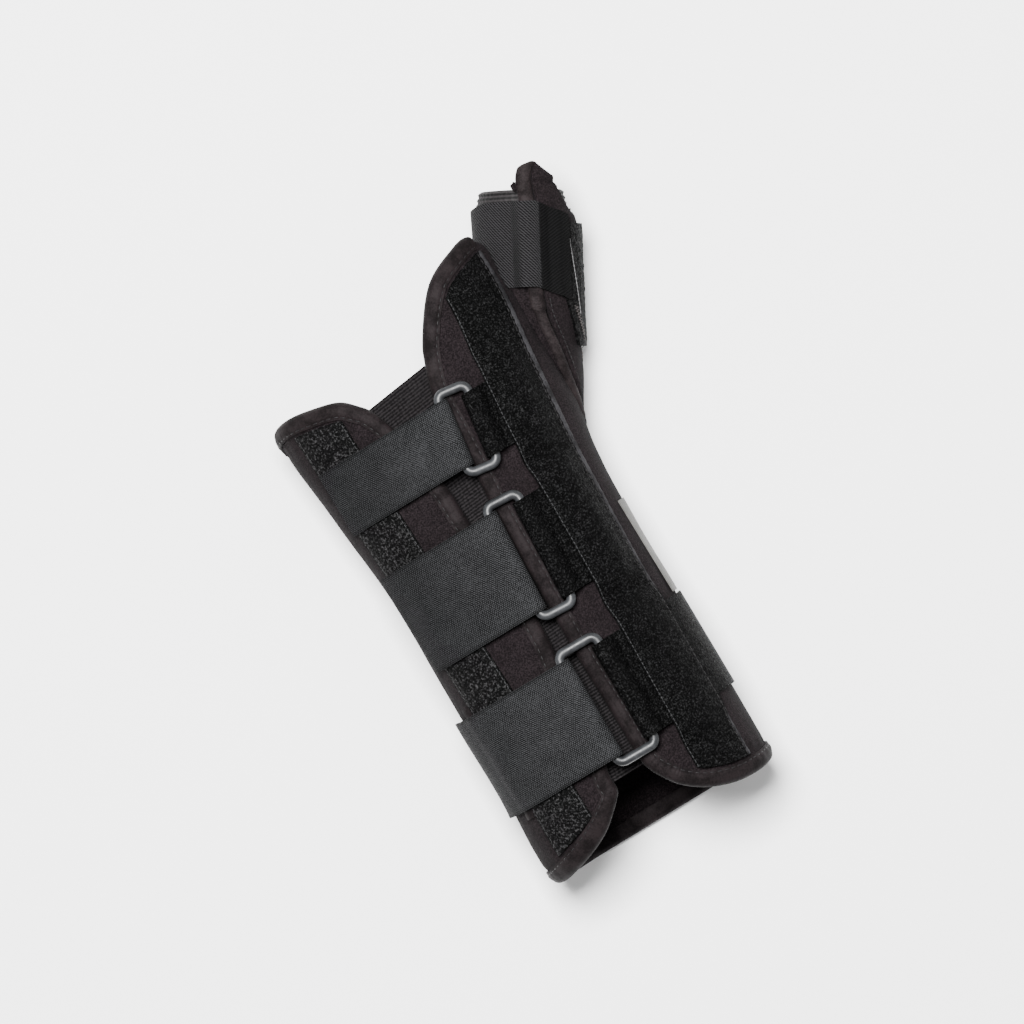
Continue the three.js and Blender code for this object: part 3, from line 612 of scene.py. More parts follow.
walk, inwards = np.meshgrid(binding_walk, fold[:, 0], indexing="ij")
stitch_place = 4.9
edge_length = 760
on_top = np.arange(len(fold)) < top_steps
groove = bump(inwards, stitch_place, 0.5) * 0.3 * on_top
way = walk / edge_rows * edge_length
gather = np.sin(way / 0.78 + 1.2 * np.sin(way / 6)) * 0.09 * on_top * eased(inwards, 1.5, 4)
lattice = lay(*inside_edge(walk, inwards), fold[:, 1] - groove + gather)
binding, binding_cut = laid_cut("edge_binding_tape", lattice, 0.66, tape_finish)
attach(binding, "root")
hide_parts("edge_binding")
line, up = body_line(*inside_edge(binding_walk, stitch_place), 1.02)
binding_stitches = sewn("edge_binding_stitches", line, up, 2.7, 2.1, 0.62, thread_dark)
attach(binding_stitches, "root")

# Knit tongue: a rib-knit panel under both flaps that closes the opening over the skin, sewn in under the
# thumb-side flap. Its ribs run along the arm.
knit = Finish("rib_knit", (0.008, 0.0075, 0.008), 0.9, {"Sheen Weight": 0.004, "Specular IOR Level": 0.05})
loops = knit.ribs(knit.cut_place()[0], 1.1)
nap = knit.noise(1500, 2, 0.6)
tone = knit.between(nap * 0.7 + loops * 0.3, 0.35, 0.7)
knit.coloured(tone, (0.0018, 0.0016, 0.0017), (0.011, 0.0098, 0.0103))
knit.dulled(nap, 0.3, 0.7, 0.96, 0.82)
knit.relief(loops * 0.4 + nap * 0.6, 0.2, 0.7)
knit_thick = 1.5
knit_middle = -body_wall - 2 * gap - binding_thick - knit_thick / 2
tongue_from, tongue_to, tongue_slant = 0.106, 0.835, 0.021
rib_width = 1.7
u, v = crossed((0, 1, 150), (0, 1, 170))
along = (tongue_from + (tongue_to + tongue_slant * v - tongue_from) * u) * body_length
around = around_at((-0.2 + 0.37 * v) * hand_width, along)
rib = np.abs(np.sin(np.pi * around / rib_width)) ** 0.7 * 0.45
lattice = lay(around, along, knit_middle - 0.3 + rib)
tongue, tongue_cut = laid_cut("rib_knit_tongue", lattice, 0.9, knit.material)
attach(tongue, "root")
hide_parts("knit_tongue")

# Long pile strips: two sewn-on lengths of soft loop fastener, one along the thumb-side flap over the three
# tabs, one along the little-finger side that the straps press on. Each has a row of stitches by both edges.
pile_thick = 1.6
web_thick = 1.2
ulnar_pile_width = 19
radial_pile_width = 20
tab_tuck = 9
ring_rise = 4.3
ring_bar = 3
ring_slack = 2
ulnar_route = np.array([[-0.205, 0.05], [-0.222, 0.5], [-0.236, 0.87]])
radial_route = np.array([
    [0.198, 0.05], [0.213, 0.31], [0.228, 0.53], [0.236, 0.65], [0.26, 0.776], [0.3, 0.93],
])
fastenings = [
    {"across": 0.126, "along": 0.727, "turn": -8.4, "wide": 14, "web": 24.4, "end": -0.388, "last": False},
    {"across": 0.082, "along": 0.497, "turn": -3.7, "wide": 15.2, "web": 38, "end": -0.388, "last": False},
    {"across": 0.052, "along": 0.229, "turn": -1.1, "wide": 18, "web": 38, "end": None, "last": True},
]
for ring in fastenings:
    along = ring["along"] * body_length
    around = around_at(ring["across"] * hand_width, along)
    middle = lay(around, along, ring_rise)
    outward = lay(around, along, ring_rise + 1) - middle
    slope = math.atan2(outward[0], outward[2])
    pitch = math.atan2(lay(around, along + 5, 0)[2] - lay(around, along - 5, 0)[2], 10)
    ring["middle"] = middle
    ring["long"] = ring["web"] + 2 * ring_bar + ring_slack
    ring["turned"] = (
        Matrix.Rotation(slope, 3, "Y")
        @ Matrix.Rotation(pitch, 3, "X")
        @ Matrix.Rotation(math.radians(ring["turn"]), 3, "Z")
    )


def inner_edge(route, along):
    """The way round to the side of a pile strip that is nearest the opening."""
    return around_at(through(route[:, 1] * body_length, route[:, 0] * hand_width, along), along)


def over_tabs(around, along):
    """How far the thumb-side strip is lifted where it runs over the tabs."""
    lift = np.zeros(np.broadcast(around, along).shape)
    for ring in fastenings:
        beside = np.abs(along - ring["middle"][1]) - (ring["web"] - 1) / 2
        near = 1 - eased(beside, 1.5, 11)
        past = eased(around - inner_edge(radial_route, along) - tab_tuck, 0.5, 11)
        rest = web_thick + gap if ring["last"] else 0
        raised = 2 * (web_thick + gap) + gap / 2
        lift = np.maximum(lift, near * (raised + (rest - raised) * past))
    return lift


def inside_binding(around, first_row, last_row):
    """How far along the hem of the binding lies at one way round."""
    hem_x, hem_y = inside_edge(np.linspace(first_row, last_row, 400), binding_width + gap)
    crossing = np.nonzero((hem_x[:-1] - around) * (hem_x[1:] - around) <= 0)[0]
    if len(crossing) == 0:
        return hem_y[-1]
    i = crossing[0]
    return hem_y[i] + (hem_y[i + 1] - hem_y[i]) * (around - hem_x[i]) / (hem_x[i + 1] - hem_x[i])


def curled(shape, seed, rough, clump):
    """Seeded heights of a loop pile: single loops on broader clumps, from -1 to 1."""
    source = np.random.default_rng(seed)

    def lumps(smoothing):
        field = source.standard_normal(shape)
        for _ in range(smoothing):
            for axis in (0, 1):
                field = field + 0.5 * (np.roll(field, 1, axis) + np.roll(field, -1, axis))
        return field / np.abs(field).max() * 1.6

    return np.clip(lumps(1) * rough + lumps(9) * clump, -1, 1)


def pile_finish(name, dark, light, shine, grain):
    """Brushed nylon loops: near black between them, with small bright flecks where a loop catches light."""
    nylon = Finish(name, dark, 0.6, {"Specular IOR Level": shine})
    inputs = {"Vector": nylon.place, "Scale": grain}
    loops = nylon.node("ShaderNodeTexVoronoi", {"feature": "F1"}, inputs)
    curls = nylon.noise(grain * 1.2, 3, 0.8)
    clumps = nylon.noise(300, 2, 0.5)
    nylon.coloured(nylon.between(curls * 0.88 + clumps * 0.12, 0.5, 0.66), dark, light)
    nylon.dulled(curls, 0.35, 0.65, 0.8, 0.5)
    nylon.relief(curls * 0.6 - loops * 0.5, 0.7, 1.0)
    return nylon.material


thread_grey = thread_finish("thread_grey", (0.02, 0.02, 0.021))
black_pile = pile_finish("black_loop_pile", (0.0003, 0.0003, 0.0003), (0.014, 0.014, 0.0142), 0.03, 1300)
grey_pile = pile_finish("coarse_loop_pile", (0.0006, 0.0006, 0.0006), (0.026, 0.0255, 0.026), 0.04, 1000)
radial_parts = (6, 14), (3, -5)
ulnar_parts = (ulnar_row + 4, ulnar_row - 5), (hand_row - 4, hand_row + 4)
for name, node, route, hand, width, edge_parts, whole_turns, steps, finish, seed in (
    ("radial_pile", "radial_pile_strip", radial_route, 1, radial_pile_width, radial_parts, 0,
     (430, 44), black_pile, 11),
    ("ulnar_pile", "ulnar_pile_strip", ulnar_route, -1, ulnar_pile_width, ulnar_parts, 1,
     (340, 38), grey_pile, 12),
):
    across = hand * width * np.linspace(0, 1, steps[1] + 1)
    ends = []
    for share, edge_part in zip((0.05, 0.93), edge_parts, strict=True):
        along = share * body_length
        way_round = inner_edge(route, along) + across + whole_turns * round_at(along)
        ends.append(np.array([inside_binding(a, *edge_part) for a in way_round]))
    low, high = ends[0] + 2 * gap, ends[1] - 2 * gap
    u = np.linspace(0, 1, steps[0] + 1)[:, None]
    along = low[None, :] + (high - low)[None, :] * u
    around = inner_edge(route, along) + across[None, :]
    lift = over_tabs(around, along) if hand > 0 else 0
    by_edge = np.minimum(np.abs(across), width - np.abs(across))[None, :]
    tufts = curled(along.shape, seed, 0.6, 0.15) * 0.3 * eased(by_edge, 0.6, 2.2)
    crown = 0.25 * eased(by_edge, 0, 2.5) - 0.3
    lattice = lay(around, along, gap + lift + 0.85 + crown + tufts)
    strip, strip_cut = laid_cut(name + "_fastener", lattice, 1.1, finish)
    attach(strip, "root")
    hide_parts(node)
    for edge_name, column, thread, pitch in (
        ("inner", 1, thread_grey, 1.7),
        ("outer", steps[1] - 2, thread_dark, 2.4),
    ):
        lifted = (lift[:, column] if hand > 0 else 0) + gap + 1.2
        line, up = body_line(around[:, column], along[:, column], lifted)
        seam = sewn(f"{name}_{edge_name}_stitches", line, up, pitch, pitch * 0.9, 0.42, thread)
        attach(seam, "root")
    if hand > 0:
        strip_side = around[:, -1], along[:, -1], lift[:, -1]

# Strip welt: the thumb-side strip's outer selvedge, turned under and standing up as a smooth grey cord that
# is broad at the flap's tip and narrow at the forearm.
around, along, lift = (column[:, None] for column in strip_side)
share = np.linspace(0, 1, 9)[None, :]
welt_wide = 1.1 + 1.2 * eased(along, 60, 150)
welt_round = np.sqrt(np.clip(1 - (2 * share - 1) ** 2, 0, 1))
welt_rise = gap + lift * (1 - 0.6 * share) + 0.45 + 0.55 * welt_round + 0.08 * np.sin(along * 1.9)
welt_tape = knit_tape("welt_tape", (0.006, 0.0058, 0.0062), (0.021, 0.0205, 0.022), 0.9)
lattice = lay(around - 0.5 + welt_wide * share, along, welt_rise)
welt, _ = laid_cut("radial_pile_welt", lattice, 0.5, welt_tape)
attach(welt, "root")

# Rings: three rectangular rings of satin grey wire, each with one bar in its tab and the other in its strap.
ring_finish = Finish("satin_grey", (0.014, 0.0147, 0.016), 0.46, {"Specular IOR Level": 0.24})
scuffs = ring_finish.noise(420, 4, 0.7)
clouding = ring_finish.noise(90, 2, 0.5)
tone = ring_finish.between(scuffs * 0.4 + clouding * 0.6, 0.35, 0.65)
ring_finish.coloured(tone, (0.009, 0.0094, 0.0103), (0.02, 0.021, 0.0228))
ring_finish.dulled(scuffs, 0.3, 0.7, 0.32, 0.46)
ring_finish.relief(scuffs, 0.05, 0.4)
corner_radius = 0.0026
bar_radius = ring_bar * 0.00057
ring_squash = [1, 1, 0.8]
for number, ring in enumerate(fastenings, 1):
    made(f"strap_ring_{number}", "plane", size=1)
    bpy.ops.object.mode_set(mode="EDIT")
    bpy.ops.mesh.select_all(action="SELECT")
    bpy.ops.transform.resize(value=((ring["wide"] - ring_bar) * 0.001, (ring["long"] - ring_bar) * 0.001, 1))
    bpy.ops.mesh.bevel(offset=corner_radius, segments=7, affect="VERTICES")
    bpy.ops.mesh.delete(type="ONLY_FACE")
    bpy.ops.object.mode_set(mode="OBJECT")
    bpy.ops.object.convert(target="CURVE")
    bpy.context.object.data.bevel_depth = bar_radius
    bpy.context.object.data.bevel_resolution = 5
    bpy.ops.object.convert(target="MESH")
    loop = bpy.context.object
    turned = (points_of(loop) * ring_squash) @ np.array(ring["turned"]).T
    set_points(loop, turned + placed(ring["middle"]))
    smooth_shaded(loop)
    loop.data.materials.clear()
    loop.data.materials.append(ring_finish.material)
    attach(loop, "root")
    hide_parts(f"ring_{number}")


# Tabs: short lengths of loop fastener folded round each ring's thumb-side bar, their ends tucked under the
# long strip. The one nearest the forearm edge runs on to the thumb side.
def located(points):
    """The way round and out to points near the back of the body."""
    around = around_at(points[:, 0], points[:, 1])
    out = np.zeros(len(points))
    for _ in range(6):
        at = lay(around, points[:, 1], out)
        outward = lay(around, points[:, 1], out + 1) - at
        miss = points - at
        out = out + (miss * outward).sum(1)
        around = around + miss[:, 0] * outward[:, 2] - miss[:, 2] * outward[:, 0]
    return around, out


fold_radius = ring_bar / 2 + gap + web_thick / 2
on_body = gap + web_thick / 2
on_band = on_body + web_thick + gap
on_binding = on_body + gap + binding_thick
on_under_fold = on_body + 1.5 * gap + 0.8
on_pile = on_body + gap + pile_thick
side_end = 0.26


def folded_band(ring, bar, lower, upper, width, across_steps):
    """A band folded round a ring's bar; each leg has an end, a resting height and a length to settle in."""
    turned = np.array(ring["turned"])
    x = bar * (ring["wide"] - ring_bar) / 2
    low, high = (ring["middle"] + turned @ [x, y, 0] for y in (-ring["long"] / 2, ring["long"] / 2))
    along = (low[1] + high[1]) / 2 + (np.linspace(0, 1, across_steps + 1) - 0.5) * width
    bar_points = low + (high - low) * ((along - low[1]) / (high[1] - low[1]))[:, None]
    bar_around, bar_out = located(bar_points)
    legs = []
    for leg, sign in ((lower, -1), (upper, 1)):
        start = bar_out + sign * fold_radius
        leg_rows = []
        for share in np.linspace(0, 1, leg["steps"] + 1):
            around = bar_around + (leg["end"](along) - bar_around) * share
            settled = eased(np.abs(around - bar_around), 0, leg["settle"])
            out = start + (leg["height"](around, along) - start) * settled
            leg_rows.append(lay(around, along, out))
        legs.append(leg_rows)
    bend = []
    for turn in np.linspace(0, math.pi, bend_steps + 2)[1:-1]:
        around = bar_around - bar * fold_radius * math.sin(turn)
        bend.append(lay(around, along, bar_out - fold_radius * math.cos(turn)))
    return np.array(legs[0][::-1] + bend + legs[1])


def tab_end(along):
    """The way round to where a tab ends under the long strip."""
    return inner_edge(radial_route, along) + tab_tuck


def side_tab_end(along):
    """The way round to where the last ring's tab ends on the thumb side."""
    return side_end * round_at(along)


def over_lower_leg(around, along):
    """How high a tab's upper leg lies, on its lower leg and then on the body."""
    return on_band + (on_body - on_band) * eased(around - tab_end(along), 0.7, 5)


for number, ring in enumerate(fastenings, 1):
    last = ring["last"]
    lower = {"end": tab_end, "height": lambda around, along: on_body, "settle": 5, "steps": 24}
    upper = {"end": tab_end, "height": over_lower_leg, "settle": 6, "steps": 44}
    if last:
        upper.update(end=side_tab_end, steps=150)
    lattice = folded_band(ring, 1, lower, upper, ring["web"] - 1, 70 if ring["web"] > 30 else 46)
    tufts = curled(lattice.shape[:2], 20 + number, 0.5, 0.3) * 0.3
    tufts[: lower["steps"] + bend_steps + 3] = 0
    lattice[..., 2] += tufts
    tab, tab_cut = laid_cut(f"ring_{number}_pile_tab", lattice, 1.1, black_pile)
    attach(tab, "root")
    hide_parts(f"pile_tab_{number}")


# Straps: woven elastic webbing sewn on under the little-finger side, passed up through each ring, folded back
# over itself and pressed on to the pile. Its selvedges are a little darker.
def woven_webbing(name, dark, light, length_mm, across_mm):
    """Close herringbone of dull nylon yarns, with painted shade darkening it towards its free end, where it
    bends away down the little-finger side.
    """
    shine = {"Sheen Weight": 0.003, "Sheen Roughness": 0.45, "Specular IOR Level": 0.06}
    web = Finish(name, dark, 0.78, shine)
    along, across = web.cut_place()
    wander = web.noise(300, 2, 0.5) * 0.5
    fold = web.sum("PINGPONG", across + wander, across_mm * 0.36)
    over = web.ribs(along * 1.1 + fold + wander * 0.6, 1.05) * web.ribs(across + wander * 0.3, 0.62)
    yarns = web.noise(1400, 3, 0.75)
    bands = web.noise(120, 3, 0.6)
    edge = web.between(web.sum("MINIMUM", across, across_mm - across), 0.4, 1.6)
    # Painted shade: the tone falls to 0.55 over the last two thirds of the strap's length, towards its free
    # end.
    painted_shade_to_free_end = web.between(along, length_mm * 0.3, length_mm, 1.0, 0.55)
    tone = over * 0.4 + yarns * 0.45 + bands * 0.15
    tone = web.between(tone, 0.26, 0.6) * (edge * 0.5 + 0.5) * painted_shade_to_free_end
    web.coloured(tone, dark, light)
    web.dulled(yarns, 0.3, 0.7, 0.86, 0.7)
    web.relief(over * 0.7 + yarns * 0.3, 0.35, 1.0)
    return web.material


def sewn_end(along):
    """The way round to where the straps' lower legs are sewn on."""
    return around_at(-0.18 * hand_width, along)


def over_pile(around, along):
    """How high a strap's free leg lies, on its lower leg, the pile and then the folded strip's level."""
    inner = inner_edge(ulnar_route, along)
    onto = eased(inner + 5 - around, 0, 4)
    off = eased(inner - ulnar_pile_width - around, 0.5, 5)
    raised = on_binding + web_thick + gap
    raised = raised + (on_pile - raised) * onto
    return raised + (on_under_fold - raised) * off


web_dark = (0.001, 0.001, 0.0011)
web_light = (0.033, 0.0334, 0.0352)
for number, ring in enumerate(fastenings, 1):
    last = ring["last"]

    def free_end(along, ring=ring):
        """The way round to the end of the strap's free leg."""
        return -side_end * round_at(along) if ring["last"] else around_at(ring["end"] * hand_width, along)

    lower = {"end": sewn_end, "height": lambda around, along: on_binding, "settle": 10, "steps": 24}
    upper = {"end": free_end, "height": over_pile, "settle": 13, "steps": 110 if last else 80}
    lattice = folded_band(ring, -1, lower, upper, ring["web"], 64 if ring["web"] > 30 else 42)
    share = np.linspace(0, 1, lattice.shape[1])[None, :]
    run = np.linspace(0, 1, lattice.shape[0])[:, None]
    lattice[..., 2] += 0.14 * np.sin(run * 37 + 3 * share) * np.sin(share * np.pi) * (run > 0.35)
    length_mm, across_mm = (way[-1] for way in ways(lattice))
    webbing = woven_webbing(f"webbing_{number}", web_dark, web_light, length_mm, across_mm)
    band, band_cut = laid_cut(f"webbing_strap_{number}", lattice, 1.15, webbing)
    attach(band, "root")
    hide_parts(f"strap_{number}")

# Folded strip under the last strap, beside the pile: the turned-in end of the strap's anchor, sewn down.
last_ring = fastenings[-1]
anchor_length, anchor_width = 44.6, 4.5
u, v = crossed((0, 1, 60), (0, 1, 12))
along = last_ring["middle"][1] + (u - 0.5) * anchor_length
around = inner_edge(ulnar_route, along) - ulnar_pile_width - gap - v * anchor_width
rise = 1.5 * gap + 0.4 + 0.35 * np.sin(np.pi * v) + 0.08 * np.sin(u * 60)
anchor, _ = laid_cut("strap_anchor_fold", lay(around, along, rise), 0.75, tape_finish)
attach(anchor, "root")
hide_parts("strap_3_under_fold")

# Side label: a plain strip of pale satin sewn low on the thumb side, left bare.
satin = Finish("pale_satin", (0.08, 0.077, 0.073), 0.6, {"Specular IOR Level": 0.2})
floats = satin.ribs(satin.cut_place()[1], 0.45)
wear = satin.noise(300, 3, 0.6)
tone = satin.between(wear * 0.7 + floats * 0.3, 0.3, 0.7)
satin.coloured(tone, (0.045, 0.043, 0.041), (0.085, 0.082, 0.078))
satin.relief(floats, 0.08, 0.5)
label_length, label_width = 37, 12
label_start = last_ring["middle"][1] + (last_ring["web"] - 1) / 2 + 1
u, v = crossed((0, 1, 60), (0, 1, 24))
along = label_start + u * label_length
around = around_at(0.448 * hand_width, along) + v * label_width
rise = gap + 0.3 + 0.12 * np.sin(u * 9) * np.sin(np.pi * v)
label, label_cut = laid_cut("plain_side_label", lay(around, along, rise), 0.5, satin.material)
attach(label, "root")
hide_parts("side_label")

# Thumb sleeve: a short tube of the same laminate that the thumb goes through, sewn into the body.
thumb_turn = math.radians(29)
thumb_across = -41.4
thumb_height = 24
thumb_half_width = 16.4
thumb_half_height = 15.6
sleeve_start = 128
sleeve_length = 89
sleeve_end = sleeve_start + sleeve_length


def thumb_point(along, degrees, out):
    """Plan points round the sleeve, by degrees from its back towards the thumb's outer side."""
    along, turn, out = np.broadcast_arrays(*(np.asarray(x, float) for x in (along, np.radians(degrees), out)))
    across = thumb_across + (thumb_half_width + out) * np.sin(turn)
    x = along * math.sin(thumb_turn) + across * math.cos(thumb_turn)
    y = along * math.cos(thumb_turn) - across * math.sin(thumb_turn)
    return np.stack([x, y, thumb_height + (thumb_half_height + out) * np.cos(turn)], -1)


def round_thumb(piece):
    """Where each point of a piece is along the thumb, and the direction straight out from its axis."""
    plan = points_of(piece) * 1000 + [0, wrist_along, 0]
    along = plan[:, 0] * math.sin(thumb_turn) + plan[:, 1] * math.cos(thumb_turn)
    across = plan[:, 0] * math.cos(thumb_turn) - plan[:, 1] * math.sin(thumb_turn) - thumb_across
    rise = plan[:, 2] - thumb_height
    size = np.hypot(across, rise)
    aside = across / size
    outward = np.stack([aside * math.cos(thumb_turn), -aside * math.sin(thumb_turn), rise / size], -1)
    return along, np.degrees(np.arctan2(across, rise)), size, outward


def thumb_line(along, degrees, out):
    """A line of plan points round the thumb and the direction straight out at each."""
    line = thumb_point(along, degrees, out)
    return line, thumb_point(along, degrees, out + 1) - line


sleeve = traced("thumb_sleeve_tube", "thumb_sleeve", 0.8, 8, laminate)
sleeve_along, sleeve_turn, sleeve_size, sleeve_outward = round_thumb(sleeve)
crinkle = np.sin(sleeve_along / 2.9 + np.sin(np.radians(sleeve_turn) * 3)) * 0.22
outer_side = eased(sleeve_size, 13.8, 15.6)
set_points(sleeve, points_of(sleeve) + sleeve_outward * (crinkle * outer_side)[:, None] * 0.001)
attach(sleeve, "root")
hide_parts("thumb_sleeve")

# Elastic band: the soft ribbed end of the sleeve, three cords wide, gathered round the thumb.
ribbed = Finish("ribbed_elastic", (0.005, 0.0045, 0.0046), 0.75, {"Specular IOR Level": 0.15})
nap = ribbed.noise(1600, 2, 0.6)
place_x, place_y = ribbed.split(ribbed.place)
along_thumb = (place_x * math.sin(thumb_turn) + place_y * math.cos(thumb_turn)) * 1000
tone = ribbed.between(nap * 0.35 + ribbed.ribs(along_thumb, 1.45) * 0.65, 0.3, 0.75)
ribbed.coloured(tone, (0.0009, 0.0008, 0.0008), (0.0125, 0.011, 0.0114))
ribbed.dulled(nap, 0.3, 0.7, 0.82, 0.66)
ribbed.relief(nap, 0.12, 0.6)
torus = {"major_segments": 220, "minor_segments": 44, "major_radius": 2, "minor_radius": 1}
elastic = made("ribbed_elastic_band", "torus", **torus)
flat = points_of(elastic)
around_thumb = np.degrees(np.arctan2(flat[:, 0], flat[:, 1]))
ring_turn = np.arctan2(flat[:, 2], np.hypot(flat[:, 0], flat[:, 1]) - 2)
half_length, half_thick = 2.95, 0.98
along_share, out_share = (
    np.sign(wave) * np.abs(wave) ** 0.6 for wave in (np.sin(ring_turn), np.cos(ring_turn))
)
cords = 0.26 * np.cos(along_share * np.pi * 3)
gathers = 0.08 * np.sin(np.radians(around_thumb) * 46)
drawn_in = 1.3 * (0.5 + 0.5 * along_share)
out = -gap - 1.1 - drawn_in + out_share * half_thick + (cords + gathers) * (out_share > 0.2)
along = sleeve_end + gap + 3 + along_share * half_length
set_points(elastic, placed(thumb_point(along, around_thumb, out)))
smooth_shaded(elastic, faces_out=True)
elastic.data.materials.append(ribbed.material)
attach(elastic, "root")
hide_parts("thumb_elastic_band")

# Stay panel: a padded laminate pocket along the outside of the thumb that holds the bent stay, folded over at
# the tip. It is wrinkled where the strap pulls on it, with one seam beside its binding.
panel = traced("padded_stay_panel", "thumb_stay_panel", 0.55, 10, laminate)
panel_along, panel_turn, panel_size, panel_outward = round_thumb(panel)
tip = eased(panel_along, 205, 216)
outer_side = eased(panel_size, 17.2, 18.6)
folds = np.sin(panel_along / 1.7 + panel_turn / 24) * 0.4 * tip + np.sin(panel_along / 3.4 - 1) * 0.2
plump = 0.35 * np.sin(np.radians(np.clip(panel_turn - 12, 0, 80)) * 2.2)
hood = 0.9 * eased(panel_along, 225.8, 227.2) * (1 - eased(panel_along, 229.5, 232.5))
hood_seam = -0.8 * bump(panel_along, 225.4, 0.55)
swell = (folds + plump + hood + hood_seam) * outer_side
set_points(panel, points_of(panel) + panel_outward * swell[:, None] * 0.001)
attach(panel, "root")
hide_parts("thumb_stay_panel")
stay_outline = np.array([
    [0.12, 88], [0.2, 73], [0.295, 54], [0.45, 32], [0.585, 16], [0.7562, 11], [0.9147, 10], [0.9634, 8.5],
    [1.0244, 6], [1.0975, 3], [1.1439, 1.5], [1.1625, 3], [1.175, 7],
])


def stay_left(along):
    """Degrees round the thumb to the panel's near edge."""
    return through(stay_outline[:, 0] * sleeve_length + sleeve_start, stay_outline[:, 1], along)


stay_thick = 2.5
seam_along = np.linspace(156, 187, 60)
line, up = thumb_line(seam_along, stay_left(seam_along) + 13, gap + stay_thick + 0.35)
panel_seam = sewn("stay_panel_seam", line, up, 2.0, 1.8, 0.5, thread_dark)
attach(panel_seam, "root")

# Stay binding: a roll of the knit tape over the panel's near edge, from the flap's fold to the tip, in two
# lengths that overlap below the thumb strap.
roll_along = sleeve_start + np.linspace(stay_outline[0, 0], stay_outline[-1, 0], 210) * sleeve_length
half_roll = np.degrees(4.2 / 2 / ((thumb_half_width + thumb_half_height) / 2))
u, v = np.meshgrid(roll_along, np.linspace(-1, 1, 19), indexing="ij")
lower_length = 1 - eased(u, 180.6, 181.6)
joint = 0.35 * bump(u, 181.2, 0.9)
crown = (gap + stay_thick * (0.62 + 0.45 * np.sqrt(np.clip(1 - v**2, 0, 1)))) + lower_length * 0.35 + joint
creases = 0.07 * np.sin(u * 2.1 + 2 * v)
rounded = np.sqrt(np.clip((roll_along[-1] + 0.3 - u) / 2.4, 0, 1))
towards_panel = half_roll * (1 - rounded) + 4 * eased(u, roll_along[-1] - 7, roll_along[-1] - 1)
turn = stay_left(u) + v * half_roll * (1 - 0.3 * lower_length) * rounded + towards_panel
crown = crown - 1.2 * (1 - rounded)
stay_tape = knit_tape("stay_tape", (0.0035, 0.0026, 0.0027), (0.012, 0.0092, 0.0095), 0.9)
lattice = thumb_point(u, turn, crown + creases - 0.4)
roll, _ = laid_cut("stay_binding_roll", lattice, 0.9, stay_tape)
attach(roll, "root")
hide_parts("thumb_stay_binding")

# Tip tuck: the end of the roll's tape, turned in beside it and sewn down as a small lump.
tuck = made("stay_tip_tuck", "uv_sphere", segments=40, ring_count=24, radius=1)
shape = points_of(tuck)
shape *= 1 + 0.1 * np.sin(shape[:, :1] * 4 + shape[:, 1:2] * 6)
along, turn, out = (shape * [1.7, 5.2, 1.3] + [224.2, -6.5, 1.2]).T
set_points(tuck, placed(thumb_point(along, turn, out)))
smooth_shaded(tuck, faces_out=True)
tuck.data.materials.append(laminate)
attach(tuck, "root")

# Thumb pile: a patch of loop fastener across the panel that the thumb strap presses on, with the pale edge of
# its backing tape showing along it and a short zigzag tack at its lower corner.
on_stay = 2 * gap + stay_thick
patch_start, patch_end, patch_width = 168, 211, 18
u, v = crossed((patch_start, patch_end, 96), (0, 1, 48))
patch_from = 62 - 22 * np.clip((u - patch_start) / 21.5, 0, 1)
patch_turn = patch_from + (97 - patch_from) * v
by_end = np.minimum(u - patch_start, patch_end - u)
by_edge = np.minimum(by_end, np.minimum(v, 1 - v) * patch_width)
tufts = curled(u.shape, 31, 0.5, 0.35) * 0.35 * eased(by_edge, 0.4, 2)
lattice = thumb_point(u, patch_turn, on_stay + 0.85 + tufts)
patch, patch_cut = laid_cut("thumb_pile_patch", lattice, 1.1, black_pile)
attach(patch, "root")
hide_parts("thumb_pile_strip")
tape_edge_along = np.linspace(179, 206, 60)
tape_edge_turn = np.interp(tape_edge_along, [180, 204], [65, 51])
thread_pale = thread_finish("thread_pale", (0.12, 0.118, 0.12))
line, up = thumb_line(tape_edge_along, tape_edge_turn, on_stay + 1.6)
patch_edge = sewn("thumb_pile_tape_edge", line, up, 1.5, 1.7, 0.42, thread_pale)
zigzag = np.linspace(0, 1, 40)
tack_along = 182 - 19.4 * zigzag
tack_turn = 57 + 31 * zigzag + np.where(np.arange(40) % 2, 3.0, -3.0)
tack_out = on_stay + 1.5 - (gap + 1.35) * (1 - eased(tack_along, 167, 169))
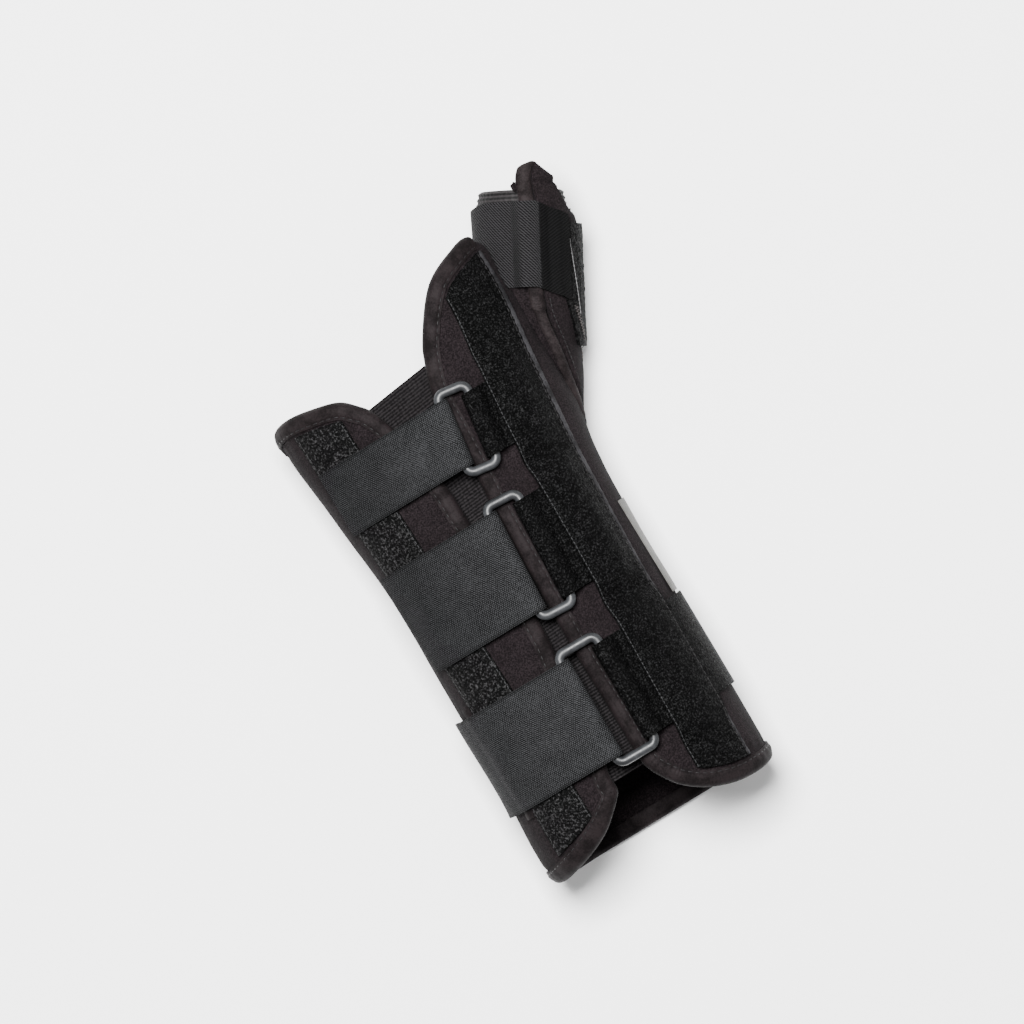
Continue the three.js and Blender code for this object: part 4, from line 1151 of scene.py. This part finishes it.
thread_brown = thread_finish("thread_brown", (0.045, 0.038, 0.037))
line, up = thumb_line(tack_along, tack_turn, tack_out)
patch_tack = sewn("thumb_pile_tack", line, up, 1.1, 1.15, 0.34, thread_brown)
for piece in (patch_edge, patch_tack):
    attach(piece, "root")

# Thumb strap: herringbone webbing that goes round under the sleeve and over the panel on to the pile. It
# creases over the panel's bound edge, and its weave leans the other way beyond the crease.
thumb_from, thumb_to, crease_turn = -254, 46, 8
u, v = crossed((thumb_from, thumb_to, 260), (189, 219, 64))
over_panel = eased(u, -12, 0)
over_patch = eased(u, 24, 37)
past = u - crease_turn
crease = 1.15 * np.where(past < 0, bump(past, 0, 17), np.maximum(0, 1 - past / 24))
height = gap + (on_stay - gap) * over_panel + over_patch * (gap + pile_thick) + 0.6 + crease
height = height + 0.12 * np.sin(v / 3.1 + u / 14)
lean_back = 5 * np.maximum((u - 12) / 34, 0) + 2.4 * eased(-u, 40, 90)
herringbone = Finish("herringbone_webbing", (0.012, 0.012, 0.0125), 0.72, {"Specular IOR Level": 0.04})
lattice = thumb_point(v - lean_back, u, height)
strap_piece, strap_cut = laid_cut("herringbone_thumb_strap", lattice, 1.1, herringbone.material)
along, across = herringbone.cut_place()
crease_at = strap_cut[0] * 1000 * (crease_turn - thumb_from) / (thumb_to - thumb_from)
# Painted shade: beyond the crease, where the strap turns away from the light, its tone is cut to a tenth.
painted_shade_past_crease = herringbone.between(along, crease_at - 0.5, crease_at + 0.5)
lean = herringbone.between(along, crease_at - 0.3, crease_at + 0.3, 1.0, -1.0)
twill = herringbone.ribs(along + across * lean, 1.15)
ends = herringbone.ribs(across, 0.8)
yarns = herringbone.noise(1400, 3, 0.75)
tone = herringbone.between(twill * 0.4 + ends * 0.15 + yarns * 0.45, 0.3, 0.72) * (1 - painted_shade_past_crease * 0.9)
herringbone.coloured(tone, (0.0009, 0.0009, 0.0009), (0.0172, 0.0167, 0.0174))
herringbone.dulled(yarns, 0.3, 0.7, 0.8, 0.64)
herringbone.relief(twill * 0.6 + ends * 0.2 + yarns * 0.2, 0.3, 0.8)
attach(strap_piece, "root")
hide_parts("thumb_strap")
